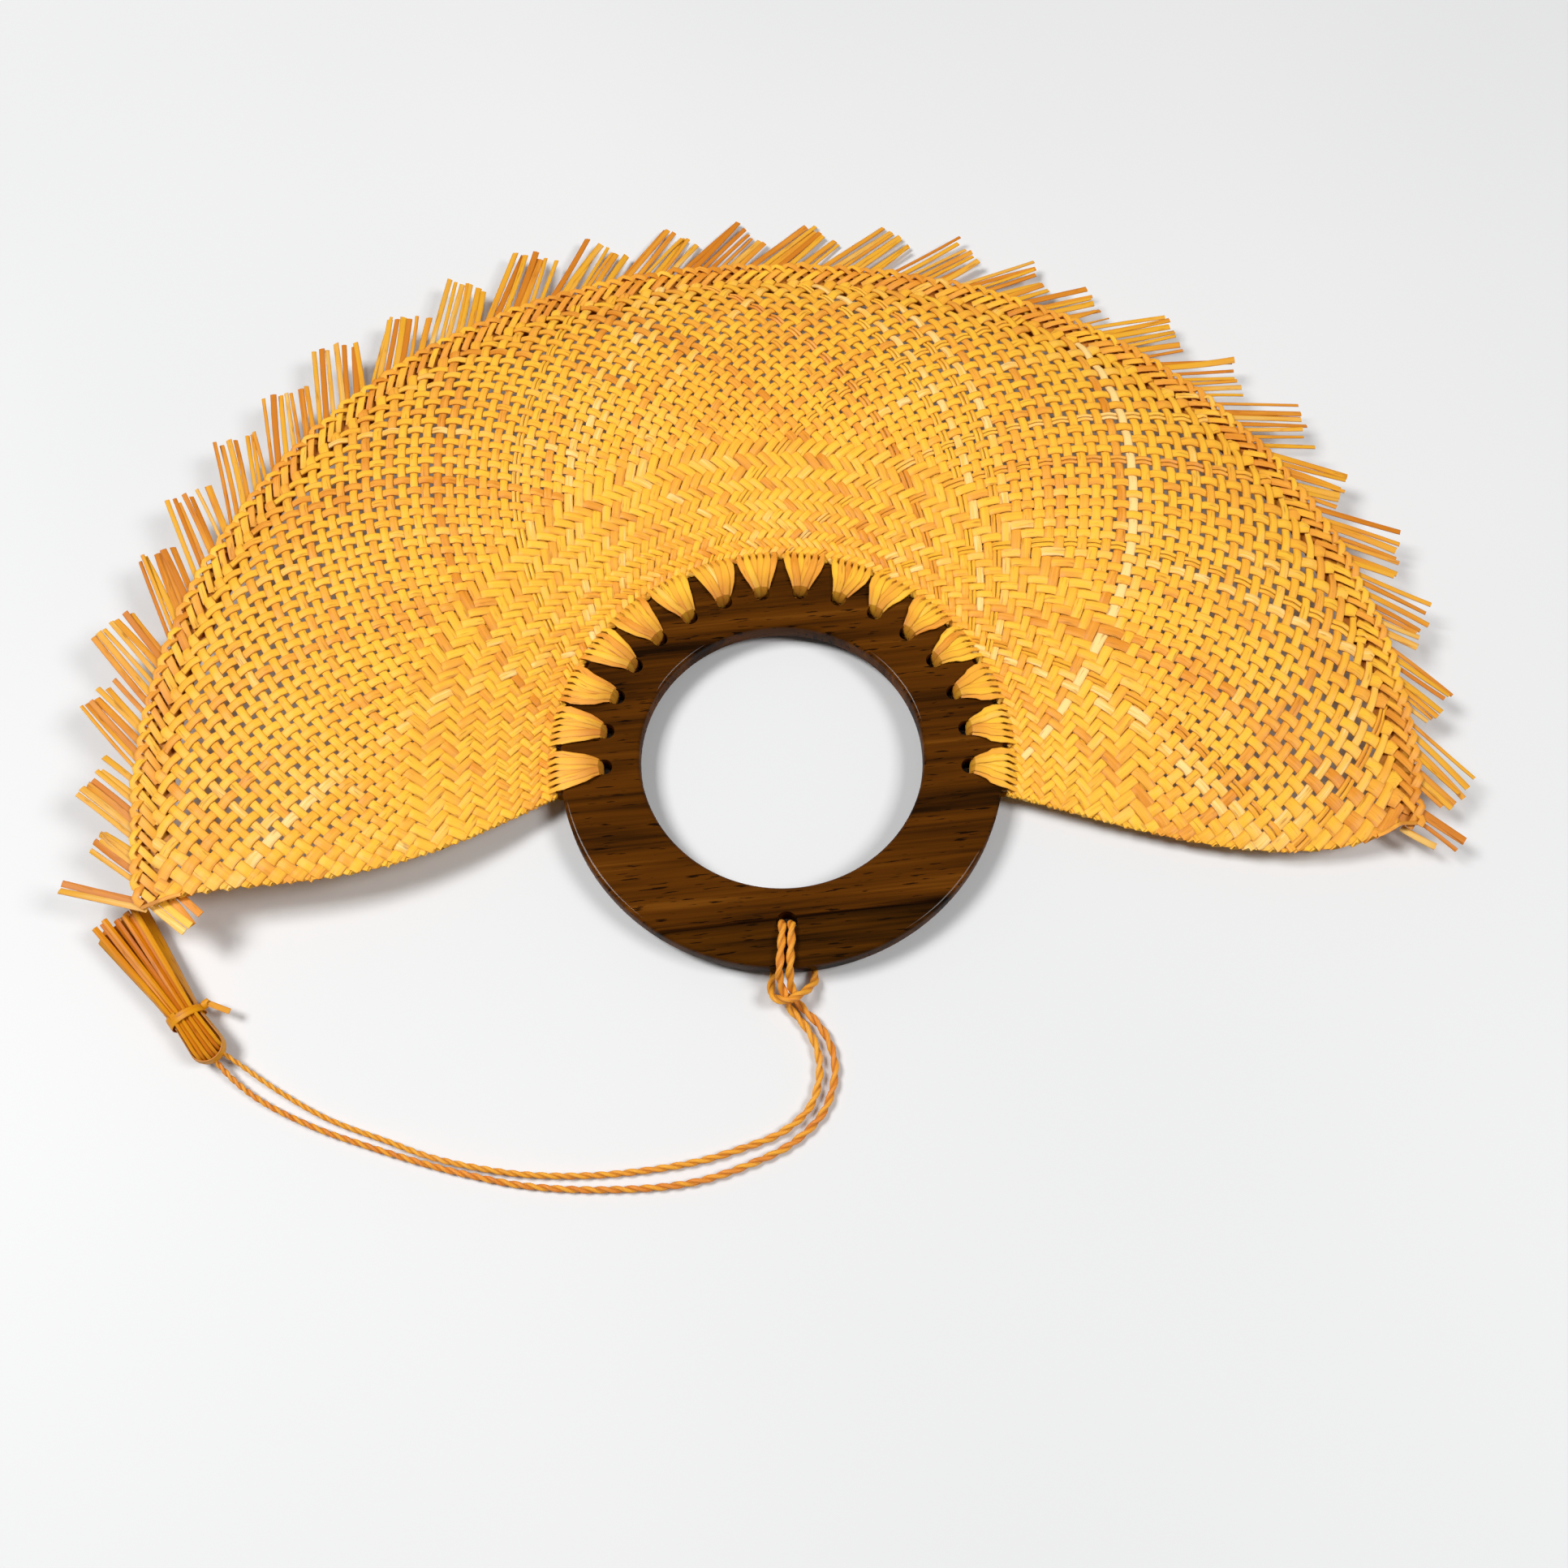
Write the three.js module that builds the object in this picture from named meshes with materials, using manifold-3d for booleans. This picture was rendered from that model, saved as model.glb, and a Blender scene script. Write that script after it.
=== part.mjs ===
// Palm leaf fan: a ring handle of dark wood with a woven palm leaf laced to it,
// a plaited rim with a cut fringe, and a wrist cord that ends in a tassel.
// Millimetres, +Z up. The fan lies on its back, as on a table.

import * as THREE from 'three';
import { mergeVertices } from 'three/addons/utils/BufferGeometryUtils.js';
import Module from 'manifold-3d';

const wasm = await Module();
wasm.setup();

// Gap between pieces that touch
const seat = 0.3;

// Ring handle, cut from one board
const ringOuterDiameter = 109.4;
const ringHoleDiameter = 70;
const ringThickness = 6;
const ringEdgeRound = 1.2;

// Lacing: bundles of palm strip that pass through the ring's holes
const laceCount = 16;
const laceHoleDiameter = 4;
const laceCircleDiameter = 90;
const laceCircleShift = 1.2;
const laceRootThickness = 0.8;
const laceRootGap = 1.1;
const lacePadThickness = 2.1;

// Woven leaf: a dished sheet between the ring and the rim, angles in degrees from +X
const leafThickness = 1.4;
const weaveOuterRadius = 150;
const rightRootAngle = -10.8;
const rightTipAngle = -7.6;
const rightEdgeBulge = 3.8;
const rightBulgePeak = 0.57;
const leftRootAngle = 191.5;
const leftTipAngle = 196;
const leftEdgeBulge = 5.2;
const leftBulgePeak = 0.37;
const crestRight = 5;
const crestLeft = 8.5;
const edgeDroop = 6;
const edgeDroopBand = 0.15;

// Openings in the loose weave outside the dense rows by the ring: a coarse grid for its many small gaps
const openWeaveRadius = 94;
const openingsAcross = 12;
const openingRows = 4;
const openingSize = 5;

// Rim: lowest at the top of the fan, with both wings raised
const rimWidth = 5.7;
const rimThickness = 2.6;
const rimLowHeight = 1.6;
const rimLowAngle = 88;
const rimLowBlend = 14;
const rimRiseLeft = 13;
const rimWaveLeft = 1.05;
const rimRiseRight = 9;
const rimWaveRight = 1.6;

// Fringe: tufts of strip ends that lean clockwise and are cut square, and a short one by the left corner
const tuftCount = 27;
const tuftStripCount = 5;
const tuftGap = 1.2;
const firstTuftAngle = -0.75;
const lastTuftAngle = 186.4;
const tuftCrowding = 4.4;
const fringeLengthRight = 19.5;
const fringeLengthLeft = 26;
const fringeStripWidth = 1.7;
const fringeThickness = 0.6;
const fringeBandWidth = 1.2;
const fringeLean = 45;
const fringeDroop = 3;
const endTuftAngle = 193;
const endTuftStripCount = 3;
const endTuftPitch = 2.8;
const endTuftLength = 18;
const endTuftLean = 15;

// Strip ends tucked out of the leaf's two corners
const cornerTuftStripCount = 3;
const cornerTuftPitch = 2.4;
const cornerTuftLength = 9;
const cornerTuftTurn = -40;
const cornerTailLength = 9;
const cornerTailWidth = 1.8;
const cornerTailTurn = -38;

// Wrist cord, hitched through one hole at the foot of the ring
const cordDiameter = 2;
const cordTableGap = 0.12;
const cordHoleDiameter = 5;
const cordHoleRadius = 43.6;
const cordHoleAngle = -88.4;

// Tassel: a folded bundle of strips, tied below its fold
const tasselHead = [-132.7, -72.5];
const tasselTurn = 129.8;
const tasselHeadRadius = 4;
const tasselHeadDepth = 6;
const tasselLength = 44;
const tasselSpread = 13;
const tasselStripsAcross = 7;
const tasselLayers = 2;
const tasselStripWidth = 1.6;
const tasselStripThickness = 0.9;
const tieOffset = 9;
const tieWidth = 1.6;
const tieThickness = 0.8;
const tieTailLength = 6;
const tieTailTurn = -60;

// Fineness of the facets
const ringSegments = 56;
const roundSteps = 3;
const holeSides = 12;
const denseSteps = 3;
const rimSteps = 50;
const cordSides = 8;
const tasselSides = 14;

// Sizes that follow from the ones above
const ringOuterRadius = ringOuterDiameter / 2;
const ringHoleRadius = ringHoleDiameter / 2;
const ringBottom = seat + lacePadThickness;
const ringTop = ringBottom + ringThickness;
const ringMiddle = (ringBottom + ringTop) / 2;
const laceRootRadius = ringOuterRadius + seat + laceRootThickness / 2;
const leafRootRadius = laceRootRadius + laceRootThickness / 2 + seat;
const lacePitch = (leftRootAngle - rightRootAngle) / laceCount;
const rimInnerRadius = weaveOuterRadius + seat;
const rimOuterRadius = rimInnerRadius + rimWidth;
const fringeRadius = rimOuterRadius + seat;
const cordRadius = cordDiameter / 2;

const palm = new THREE.MeshStandardMaterial({ color: 0xe8a83a, roughness: 0.55, metalness: 0 });
const palmPale = new THREE.MeshStandardMaterial({ color: 0xf0bd62, roughness: 0.55, metalness: 0 });
const palmDark = new THREE.MeshStandardMaterial({ color: 0xc9821f, roughness: 0.6, metalness: 0 });
const wood = new THREE.MeshStandardMaterial({ color: 0x5a3618, roughness: 0.3, metalness: 0 });

const radians = THREE.MathUtils.degToRad;
const mix = THREE.MathUtils.lerp;

function polar(radius, degrees, z) {
  const angle = radians(degrees);
  return new THREE.Vector3(radius * Math.cos(angle), radius * Math.sin(angle), z);
}

function named(name, geometry, material) {
  const mesh = new THREE.Mesh(geometry, material);
  mesh.name = name;
  return mesh;
}

// Six times the volume that a triangle list encloses: its sign tells which way the faces point
function signedVolume(points, index) {
  let total = 0;
  for (let i = 0; i < index.length; i += 3) {
    const [a, b, c] = [points[index[i]], points[index[i + 1]], points[index[i + 2]]];
    total += a.dot(new THREE.Vector3().crossVectors(b, c));
  }
  return total;
}

function geometryFrom(points, index) {
  if (signedVolume(points, index) < 0) index.reverse();
  const geometry = new THREE.BufferGeometry().setFromPoints(points);
  geometry.setIndex(index);
  geometry.computeVertexNormals();
  return geometry;
}

// Skin over a row of section rings, capped at both ends or joined into a loop
function loft(rings, loop = false) {
  const sides = rings[0].length;
  const index = [];
  const spans = loop ? rings.length : rings.length - 1;
  for (let i = 0; i < spans; i++) {
    const next = (i + 1) % rings.length;
    for (let j = 0; j < sides; j++) {
      const k = (j + 1) % sides;
      const [a, b, c, d] = [i * sides + j, i * sides + k, next * sides + k, next * sides + j];
      index.push(a, b, c, a, c, d);
    }
  }
  if (!loop) {
    const last = (rings.length - 1) * sides;
    for (let j = 1; j < sides - 1; j++) {
      index.push(0, j + 1, j, last, last + j, last + j + 1);
    }
  }
  return geometryFrom(rings.flat(), index);
}

function toManifold(geometry) {
  const bare = geometry.clone();
  bare.deleteAttribute('normal');
  if (bare.attributes.uv) bare.deleteAttribute('uv');
  const merged = mergeVertices(bare, 1e-4);
  const vertProperties = new Float32Array(merged.attributes.position.array);
  const triVerts = new Uint32Array(merged.index.array);
  return new wasm.Manifold(new wasm.Mesh({ numProp: 3, vertProperties, triVerts }));
}

function fromManifold(solid) {
  const mesh = solid.getMesh();
  const geometry = new THREE.BufferGeometry();
  geometry.setAttribute('position', new THREE.BufferAttribute(mesh.vertProperties, 3));
  geometry.setIndex(new THREE.BufferAttribute(mesh.triVerts, 1));
  geometry.computeVertexNormals();
  return geometry;
}

function upright(radius, height, sides, place) {
  const geometry = new THREE.CylinderGeometry(radius, radius, height, sides);
  geometry.rotateX(Math.PI / 2);
  geometry.translate(place.x, place.y, place.z);
  return geometry;
}

// Ring handle: a turned ring with rounded edges, drilled for the lacing and the cord

function laceAngle(i) {
  return rightRootAngle + (i + 0.5) * lacePitch;
}

function laceHoleRadius(i) {
  return laceCircleDiameter / 2 + laceCircleShift * Math.cos(radians(laceAngle(i)));
}

function ringProfile() {
  const corners = [
    [ringOuterRadius - ringEdgeRound, ringBottom + ringEdgeRound, -90],
    [ringOuterRadius - ringEdgeRound, ringTop - ringEdgeRound, 0],
    [ringHoleRadius + ringEdgeRound, ringTop - ringEdgeRound, 90],
    [ringHoleRadius + ringEdgeRound, ringBottom + ringEdgeRound, 180],
  ];
  const profile = [];
  for (const [r, z, start] of corners) {
    for (let k = 0; k <= roundSteps; k++) {
      const angle = radians(start + (90 * k) / roundSteps);
      profile.push(new THREE.Vector2(r + ringEdgeRound * Math.cos(angle), z + ringEdgeRound * Math.sin(angle)));
    }
  }
  profile.push(profile[0].clone());
  return profile;
}

function ringHandle() {
  const turned = new THREE.LatheGeometry(ringProfile(), ringSegments);
  turned.rotateX(Math.PI / 2);
  let solid = toManifold(turned);
  const throughHeight = 2 * ringThickness;
  const drill = (diameter, place) => {
    solid = solid.subtract(toManifold(upright(diameter / 2, throughHeight, holeSides, place)));
  };
  for (let i = 0; i < laceCount; i++) {
    drill(laceHoleDiameter, polar(laceHoleRadius(i), laceAngle(i), ringMiddle));
  }
  drill(cordHoleDiameter, polar(cordHoleRadius, cordHoleAngle, ringMiddle));
  return fromManifold(solid);
}

// Lacing bundle: a flat loop round the ring's outer band that narrows to a stem in its hole

const sectionShoulder = 0.7;

function laceSection(angle, at, normal) {
  const flat = sectionShoulder * at.halfWidth;
  const outline = [
    [at.halfWidth, 0],
    [flat, at.halfDepth],
    [-flat, at.halfDepth],
    [-at.halfWidth, 0],
    [-flat, -at.halfDepth],
    [flat, -at.halfDepth],
  ];
  return outline.map(([across, up]) => {
    const radius = at.radius + normal.x * up;
    const degrees = angle + THREE.MathUtils.radToDeg(across / radius);
    return polar(radius, degrees, at.z + normal.y * up);
  });
}

// Stations of the front half, from the middle of the root to the middle of the stem
function laceStations(i) {
  const rootHalfWidth = (radians(lacePitch) * laceRootRadius - laceRootGap) / 2;
  const rootHalf = laceRootThickness / 2;
  const padHalf = lacePadThickness / 2;
  const hole = laceHoleRadius(i);
  const stemHalf = laceHoleDiameter / 2 - seat;
  const stemDepth = stemHalf * Math.sqrt(1 - sectionShoulder ** 2);
  const cornerRadius = ringOuterRadius - ringEdgeRound;
  const cornerReach = (ringEdgeRound + seat + rootHalf) * Math.SQRT1_2;
  const half = ringThickness / 2;
  const padRadius = hole + laceHoleDiameter / 2;
  const station = (radius, rise, halfWidth, halfDepth) => ({ radius, rise, halfWidth, halfDepth });
  return [
    station(laceRootRadius, 0, rootHalfWidth, rootHalf),
    station(laceRootRadius, half - ringEdgeRound, rootHalfWidth, rootHalf),
    station(cornerRadius + cornerReach, half - ringEdgeRound + cornerReach, rootHalfWidth, rootHalf),
    station(cornerRadius, half + seat + rootHalf, mix(rootHalfWidth, stemHalf, 0.08), rootHalf),
    station(
      mix(cornerRadius, padRadius, 0.5),
      half + seat + mix(rootHalf, padHalf, 0.6),
      mix(rootHalfWidth, stemHalf, 0.4),
      mix(rootHalf, padHalf, 0.6),
    ),
    station(padRadius, half + seat + padHalf, mix(rootHalfWidth, stemHalf, 0.85), padHalf),
    station(hole + stemHalf * 0.3, half + stemDepth * 0.6, stemHalf, stemDepth),
    station(hole, half - stemDepth * 0.6, stemHalf, stemDepth),
  ];
}

function laceBundle(i) {
  const front = laceStations(i).map((s) => ({ ...s, z: ringMiddle + s.rise }));
  const back = laceStations(i).slice(1).reverse().map((s) => ({ ...s, z: ringMiddle - s.rise }));
  const loop = [...front, ...back];
  const rings = loop.map((at, k) => {
    const before = loop[(k + loop.length - 1) % loop.length];
    const after = loop[(k + 1) % loop.length];
    const along = new THREE.Vector2(after.radius - before.radius, after.z - before.z).normalize();
    return laceSection(laceAngle(i), at, new THREE.Vector2(along.y, -along.x));
  });
  return loft(rings, true);
}

// Woven leaf: s runs from the ring to the rim, t from the right edge to the left edge

// A bow that is 0 at both ends of the edge and 1 where s is the peak
function edgeBow(s, peak) {
  const fall = (1 - peak) / peak;
  return (s / peak) * ((1 - s) / (1 - peak)) ** fall;
}

function edgeAngles(s) {
  const right = mix(rightRootAngle, rightTipAngle, s) - rightEdgeBulge * edgeBow(s, rightBulgePeak);
  const left = mix(leftRootAngle, leftTipAngle, s) + leftEdgeBulge * edgeBow(s, leftBulgePeak);
  return [right, left];
}

function rimHeight(angle) {
  const turn = angle - rimLowAngle;
  const eased = radians(Math.hypot(turn, rimLowBlend) - rimLowBlend);
  if (turn >= 0) return rimLowHeight + rimRiseLeft * Math.sin(eased * rimWaveLeft);
  return rimLowHeight + rimRiseRight * Math.sin(eased * rimWaveRight);
}

function crestHeight(t) {
  const nearRight = Math.max(0, 1 - t / edgeDroopBand);
  const nearLeft = Math.max(0, 1 - (1 - t) / edgeDroopBand);
  return mix(crestRight, crestLeft, t) - edgeDroop * (nearRight ** 2 + nearLeft ** 2);
}

// The dish s(1 - s²) is highest at s = 1/√3, where it reaches this value
const dishPeak = 2 / (3 * Math.sqrt(3));

function leafPoint(s, t, lift) {
  const [right, left] = edgeAngles(s);
  const angle = mix(right, left, t);
  const dish = (s * (1 - s * s)) / dishPeak;
  const z = mix(ringMiddle, rimHeight(angle), s) + crestHeight(t) * dish + lift;
  return polar(mix(leafRootRadius, weaveOuterRadius, s), angle, z);
}

// Lines of the leaf's grid, as shares of its sweep and its depth: an opening lies past each line marked open
function sweepLines() {
  const sweep = radians(leftTipAngle - rightTipAngle);
  const half = openingSize / (sweep * (openWeaveRadius + weaveOuterRadius));
  const lines = [];
  for (let i = 0; i < openingsAcross; i++) {
    const start = i / openingsAcross;
    const end = (i + 1) / openingsAcross;
    const middle = (start + end) / 2;
    lines.push({ at: start }, { at: (start + middle - half) / 2 }, { at: middle - half, open: true });
    lines.push({ at: middle + half }, { at: (middle + half + end) / 2 });
  }
  return [...lines, { at: 1 }];
}

function depthLines() {
  const depth = weaveOuterRadius - leafRootRadius;
  const dense = (openWeaveRadius - leafRootRadius) / depth;
  const half = openingSize / 2 / depth;
  const lines = [];
  for (let k = 0; k < denseSteps; k++) lines.push({ at: (dense * k) / denseSteps });
  for (let row = 0; row < openingRows; row++) {
    const middle = mix(dense, 1, (row + 0.5) / openingRows);
    lines.push({ at: middle - half, open: true }, { at: middle + half });
  }
  return [...lines, { at: 1 }];
}

function wovenLeaf() {
  const sweep = sweepLines();
  const depth = depthLines();
  const points = [];
  for (const lift of [leafThickness / 2, -leafThickness / 2]) {
    for (const t of sweep) points.push(...depth.map((s) => leafPoint(s.at, t.at, lift)));
  }
  const isOpen = (i, j) => sweep[i].open && depth[j].open;
  return sheet(points, sweep.length - 1, depth.length - 1, isOpen);
}

// Sheet over a grid of top points and then as many below: faces on both sides, and walls round it and its openings
function sheet(points, rows, columns, isOpen) {
  const below = points.length / 2;
  const corner = (i, j) => i * (columns + 1) + j;
  const filled = (i, j) => i >= 0 && j >= 0 && i < rows && j < columns && !isOpen(i, j);
  const index = [];
  const quad = (a, b, c, d) => index.push(a, b, c, a, c, d);
  for (let i = 0; i < rows; i++) {
    for (let j = 0; j < columns; j++) {
      if (!filled(i, j)) continue;
      const top = [corner(i, j), corner(i, j + 1), corner(i + 1, j + 1), corner(i + 1, j)];
      const joined = [filled(i - 1, j), filled(i, j + 1), filled(i + 1, j), filled(i, j - 1)];
      quad(...top);
      quad(...top.map((k) => k + below).reverse());
      for (let k = 0; k < 4; k++) {
        const [from, to] = [top[k], top[(k + 1) % 4]];
        if (!joined[k]) quad(to, from, from + below, to + below);
      }
    }
  }
  return geometryFrom(points, index);
}

// Rim braid: a flat oval band along the weave's outer edge

function rimBraid() {
  const [right, left] = edgeAngles(1);
  const rings = [];
  for (let i = 0; i <= rimSteps; i++) {
    const angle = mix(right, left, i / rimSteps);
    const ring = [];
    for (let k = 0; k < cordSides; k++) {
      const turn = ((k + 0.5) / cordSides) * 2 * Math.PI;
      const reach = 1 / Math.cos(Math.PI / cordSides);
      const radius = rimInnerRadius + rimWidth / 2 + (rimWidth / 2) * reach * Math.cos(turn);
      ring.push(polar(radius, angle, rimHeight(angle) + (rimThickness / 2) * reach * Math.sin(turn)));
    }
    rings.push(ring);
  }
  return loft(rings);
}

// A comb of strips on a narrow band: the strips lean over and end on one square cut

function comb(stripCount, pitch, length, lean) {
  const slant = radians(lean);
  const along = new THREE.Vector2(Math.sin(slant), Math.cos(slant));
  const footHalf = fringeStripWidth / Math.cos(slant) / 2;
  const halfBand = (stripCount * pitch) / 2;
  const shape = new THREE.Shape();
  shape.moveTo(halfBand, 0);
  shape.lineTo(-halfBand, 0);
  shape.lineTo(-halfBand, fringeBandWidth);
  const firstFoot = -halfBand + pitch / 2;
  for (let k = 0; k < stripCount; k++) {
    const foot = firstFoot + k * pitch;
    const reach = length - k * pitch * along.x;
    const tip = new THREE.Vector2(foot, fringeBandWidth).addScaledVector(along, reach);
    const side = new THREE.Vector2(-along.y, along.x).multiplyScalar(fringeStripWidth / 2);
    shape.lineTo(foot - footHalf, fringeBandWidth);
    shape.lineTo(tip.x + side.x, tip.y + side.y);
    shape.lineTo(tip.x - side.x, tip.y - side.y);
    shape.lineTo(foot + footHalf, fringeBandWidth);
  }
  shape.lineTo(halfBand, fringeBandWidth);
  shape.closePath();
  const geometry = new THREE.ExtrudeGeometry(shape, { depth: fringeThickness, bevelEnabled: false });
  geometry.translate(0, 0, -fringeThickness / 2);
  return geometry;
}

// Frame on the rim at an angle: X runs clockwise along the rim, Y points out, Z points up
function rimFrame(angle, droop) {
  const step = 0.5;
  const before = polar(fringeRadius, angle + step, rimHeight(angle + step));
  const after = polar(fringeRadius, angle - step, rimHeight(angle - step));
  const clockwise = after.sub(before).normalize();
  const out = polar(Math.cos(radians(droop)), angle, -Math.sin(radians(droop)));
  const up = new THREE.Vector3().crossVectors(clockwise, out).normalize();
  out.crossVectors(up, clockwise);
  return new THREE.Matrix4().makeBasis(clockwise, out, up);
}

// Tufts stand wider apart on the right than on the left
function tuftAngle(i) {
  const u = i / (tuftCount - 1);
  return mix(firstTuftAngle, lastTuftAngle, u) + tuftCrowding * 4 * u * (1 - u);
}

function tuftOnRim(name, angle, geometry) {
  const mesh = named(name, geometry, palmPale);
  mesh.position.copy(polar(fringeRadius, angle, rimHeight(angle)));
  mesh.quaternion.setFromRotationMatrix(rimFrame(angle, fringeDroop));
  return mesh;
}

function fringe() {
  const group = new THREE.Group();
  const numbered = (i) => `fringe_${String(i + 1).padStart(2, '0')}`;
  for (let i = 0; i < tuftCount; i++) {
    const room = radians(tuftAngle(i + 0.5) - tuftAngle(i - 0.5)) * fringeRadius;
    const pitch = (room - tuftGap) / tuftStripCount;
    const length = mix(fringeLengthRight, fringeLengthLeft, i / (tuftCount - 1));
    group.add(tuftOnRim(numbered(i), tuftAngle(i), comb(tuftStripCount, pitch, length, fringeLean)));
  }
  const endTuft = comb(endTuftStripCount, endTuftPitch, endTuftLength, endTuftLean);
  group.add(tuftOnRim(numbered(tuftCount), endTuftAngle, endTuft));
  return group;
}

// Strip ends that leave the leaf's corners below its two edges

function cornerEnds() {
  const group = new THREE.Group();
  const [rightAngle] = edgeAngles(1);
  const underLeaf = leafThickness / 2 + fringeThickness / 2 + seat;
  const leftTuft = named('corner_tuft_left', comb(cornerTuftStripCount, cornerTuftPitch, cornerTuftLength, 0), palm);
  leftTuft.position.copy(leafPoint(1, 1, -underLeaf));
  leftTuft.rotation.z = radians(cornerTuftTurn - 90);
  const tail = new THREE.BoxGeometry(cornerTailLength, cornerTailWidth, fringeThickness);
  tail.translate(cornerTailLength / 2 - cornerTailWidth, 0, 0);
  const rightTail = named('corner_tail_right', tail, palmPale);
  const underRim = rimThickness / 2 + fringeThickness / 2 + seat;
  rightTail.position.copy(polar(rimInnerRadius + rimWidth / 2, rightAngle, rimHeight(rightAngle) - underRim));
  rightTail.rotation.z = radians(cornerTailTurn);
  group.add(leftTuft, rightTail);
  return group;
}

// Wrist cord

function cordTube(route, steps) {
  const section = new THREE.Shape();
  for (let k = 0; k < cordSides; k++) {
    const turn = (k / cordSides) * 2 * Math.PI;
    const corner = new THREE.Vector2(cordRadius * Math.cos(turn), cordRadius * Math.sin(turn));
    if (k === 0) section.moveTo(corner.x, corner.y);
    else section.lineTo(corner.x, corner.y);
  }
  section.closePath();
  const points = route.map(([x, y, z]) => new THREE.Vector3(x, y, z));
  const path = new THREE.CatmullRomCurve3(points, false, 'centripetal');
  return new THREE.ExtrudeGeometry(section, { steps, extrudePath: path, bevelEnabled: false });
}

// Heights of the cord on the ring's face, beneath the ring, on the table, on its own runs and over its own strands
const overRing = ringTop + seat + cordRadius;
const underRing = ringBottom - seat - cordRadius;
const onTable = cordRadius + cordTableGap;
const onRuns = onTable + cordDiameter + seat;
const overStrands = onRuns + cordDiameter + 2 * seat;

// Cow hitch: over the face, down the hole, round in a bight in front of both strands, and back
const hitchRoute = [
  [1.9, -62.3, onRuns],
  [1.0, -60.7, onRuns + 0.6],
  [-0.3, -57.9, 6.0],
  [-0.6, -55.5, overRing - 0.7],
  [-0.4, -53.4, overRing],
  [-0.1, -49.5, overRing],
  [0.1, -46.8, overRing],
  [0.1, -45.0, overRing - 0.3],
  [0.1, -44.0, ringTop - 0.2],
  [0.1, -43.8, ringMiddle],
  [0.1, -44.0, ringBottom + 0.2],
  [0.0, -45.3, underRing + 0.2],
  [-0.3, -47.2, underRing],
  [-1.2, -51.0, underRing],
  [-2.0, -54.8, underRing],
  [-2.5, -57.9, 2.2],
  [-1.7, -60.9, 4.7],
  [0.6, -62.0, overStrands],
  [3.2, -61.2, overStrands],
  [5.7, -59.2, 4.3],
  [7.6, -56.6, 2.0],
  [7.9, -54.0, underRing],
  [6.6, -50.5, underRing],
  [4.3, -47.4, underRing],
  [2.6, -45.4, underRing + 0.2],
  [2.3, -44.0, ringBottom + 0.2],
  [2.3, -43.8, ringMiddle],
  [2.3, -44.0, ringTop - 0.2],
  [2.3, -45.0, overRing - 0.3],
  [2.3, -46.8, overRing],
  [2.2, -49.5, overRing],
  [2.0, -53.4, overRing],
  [1.9, -55.5, overRing - 0.7],
  [2.0, -57.9, 6.0],
  [2.8, -59.6, onRuns + 0.6],
  [3.7, -61.1, onRuns],
];

// The two runs from the hitch to the tassel lie side by side; the inner one climbs a little where they close up
const innerRunRoute = [
  [1.8, -62.4, onTable],
  [3.9, -64.9, onTable],
  [6.3, -68.1, onTable],
  [8.2, -72.2, onTable],
  [8.8, -76.6, onTable],
  [8.3, -81.2, onTable],
  [6.2, -86.2, onTable],
  [0.3, -91.4, onTable],
  [-9, -95.2, onTable],
  [-20.7, -98.5, onTable],
  [-40.7, -101.1, onTable],
  [-58, -101.1, onTable + 0.6],
  [-70, -99.5, onTable + 1.5],
  [-80, -97.2, onTable + 1.5],
  [-89.1, -93.9, onTable + 0.5],
  [-104.3, -88.4, onTable],
  [-117, -81.6, onTable],
  [-124.5, -76.8, onTable + 0.6],
  [-128.5, -74.0, 2.4],
];
const outerRunRoute = [
  [3.6, -61.2, onTable],
  [5.7, -63.4, onTable],
  [8.7, -66.6, onTable],
  [11.2, -71, onTable],
  [12.3, -75.5, onTable],
  [12.1, -80, onTable],
  [9.4, -87.2, onTable],
  [2.6, -93.9, onTable],
  [-6.8, -98.6, onTable],
  [-20.6, -102.9, onTable],
  [-40.5, -104.4, onTable],
  [-58, -103.5, onTable],
  [-70, -101.3, onTable],
  [-80, -98.9, onTable],
  [-94.9, -94.5, onTable],
  [-107, -90.4, onTable],
  [-119.5, -84.6, onTable],
  [-126.2, -80, onTable + 0.6],
  [-130.4, -76.4, 2.4],
];

function wristCord() {
  const group = new THREE.Group();
  group.add(named('cord_hitch', cordTube(hitchRoute, 72), palm));
  group.add(named('cord_run_inner', cordTube(innerRunRoute, 40), palm));
  group.add(named('cord_run_outer', cordTube(outerRunRoute, 40), palm));
  return group;
}

// Tassel, drawn along +X from the middle of its fold and then turned into place

const tieHalfDepth = tasselHeadDepth / 2 + seat + tieThickness;
const tasselHeight = tieHalfDepth + cordTableGap;

function tasselSection(x, halfWidth, halfDepth) {
  const ring = [];
  for (let k = 0; k < tasselSides; k++) {
    const turn = (k / tasselSides) * 2 * Math.PI;
    ring.push(new THREE.Vector3(x, halfWidth * Math.cos(turn), halfDepth * Math.sin(turn)));
  }
  return ring;
}

// The round fold, then a straight neck to just past the tie
function tasselFold() {
  const foldSteps = 4;
  const halfDepth = tasselHeadDepth / 2;
  const rings = [];
  for (let k = 0; k <= foldSteps; k++) {
    const angle = radians(mix(10, 90, k / foldSteps));
    const x = -tasselHeadRadius * Math.cos(angle);
    rings.push(tasselSection(x, tasselHeadRadius * Math.sin(angle), halfDepth * mix(0.6, 1, k / foldSteps)));
  }
  rings.push(tasselSection(tieOffset + 2 * tieWidth, tasselHeadRadius, halfDepth));
  return loft(rings);
}

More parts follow.
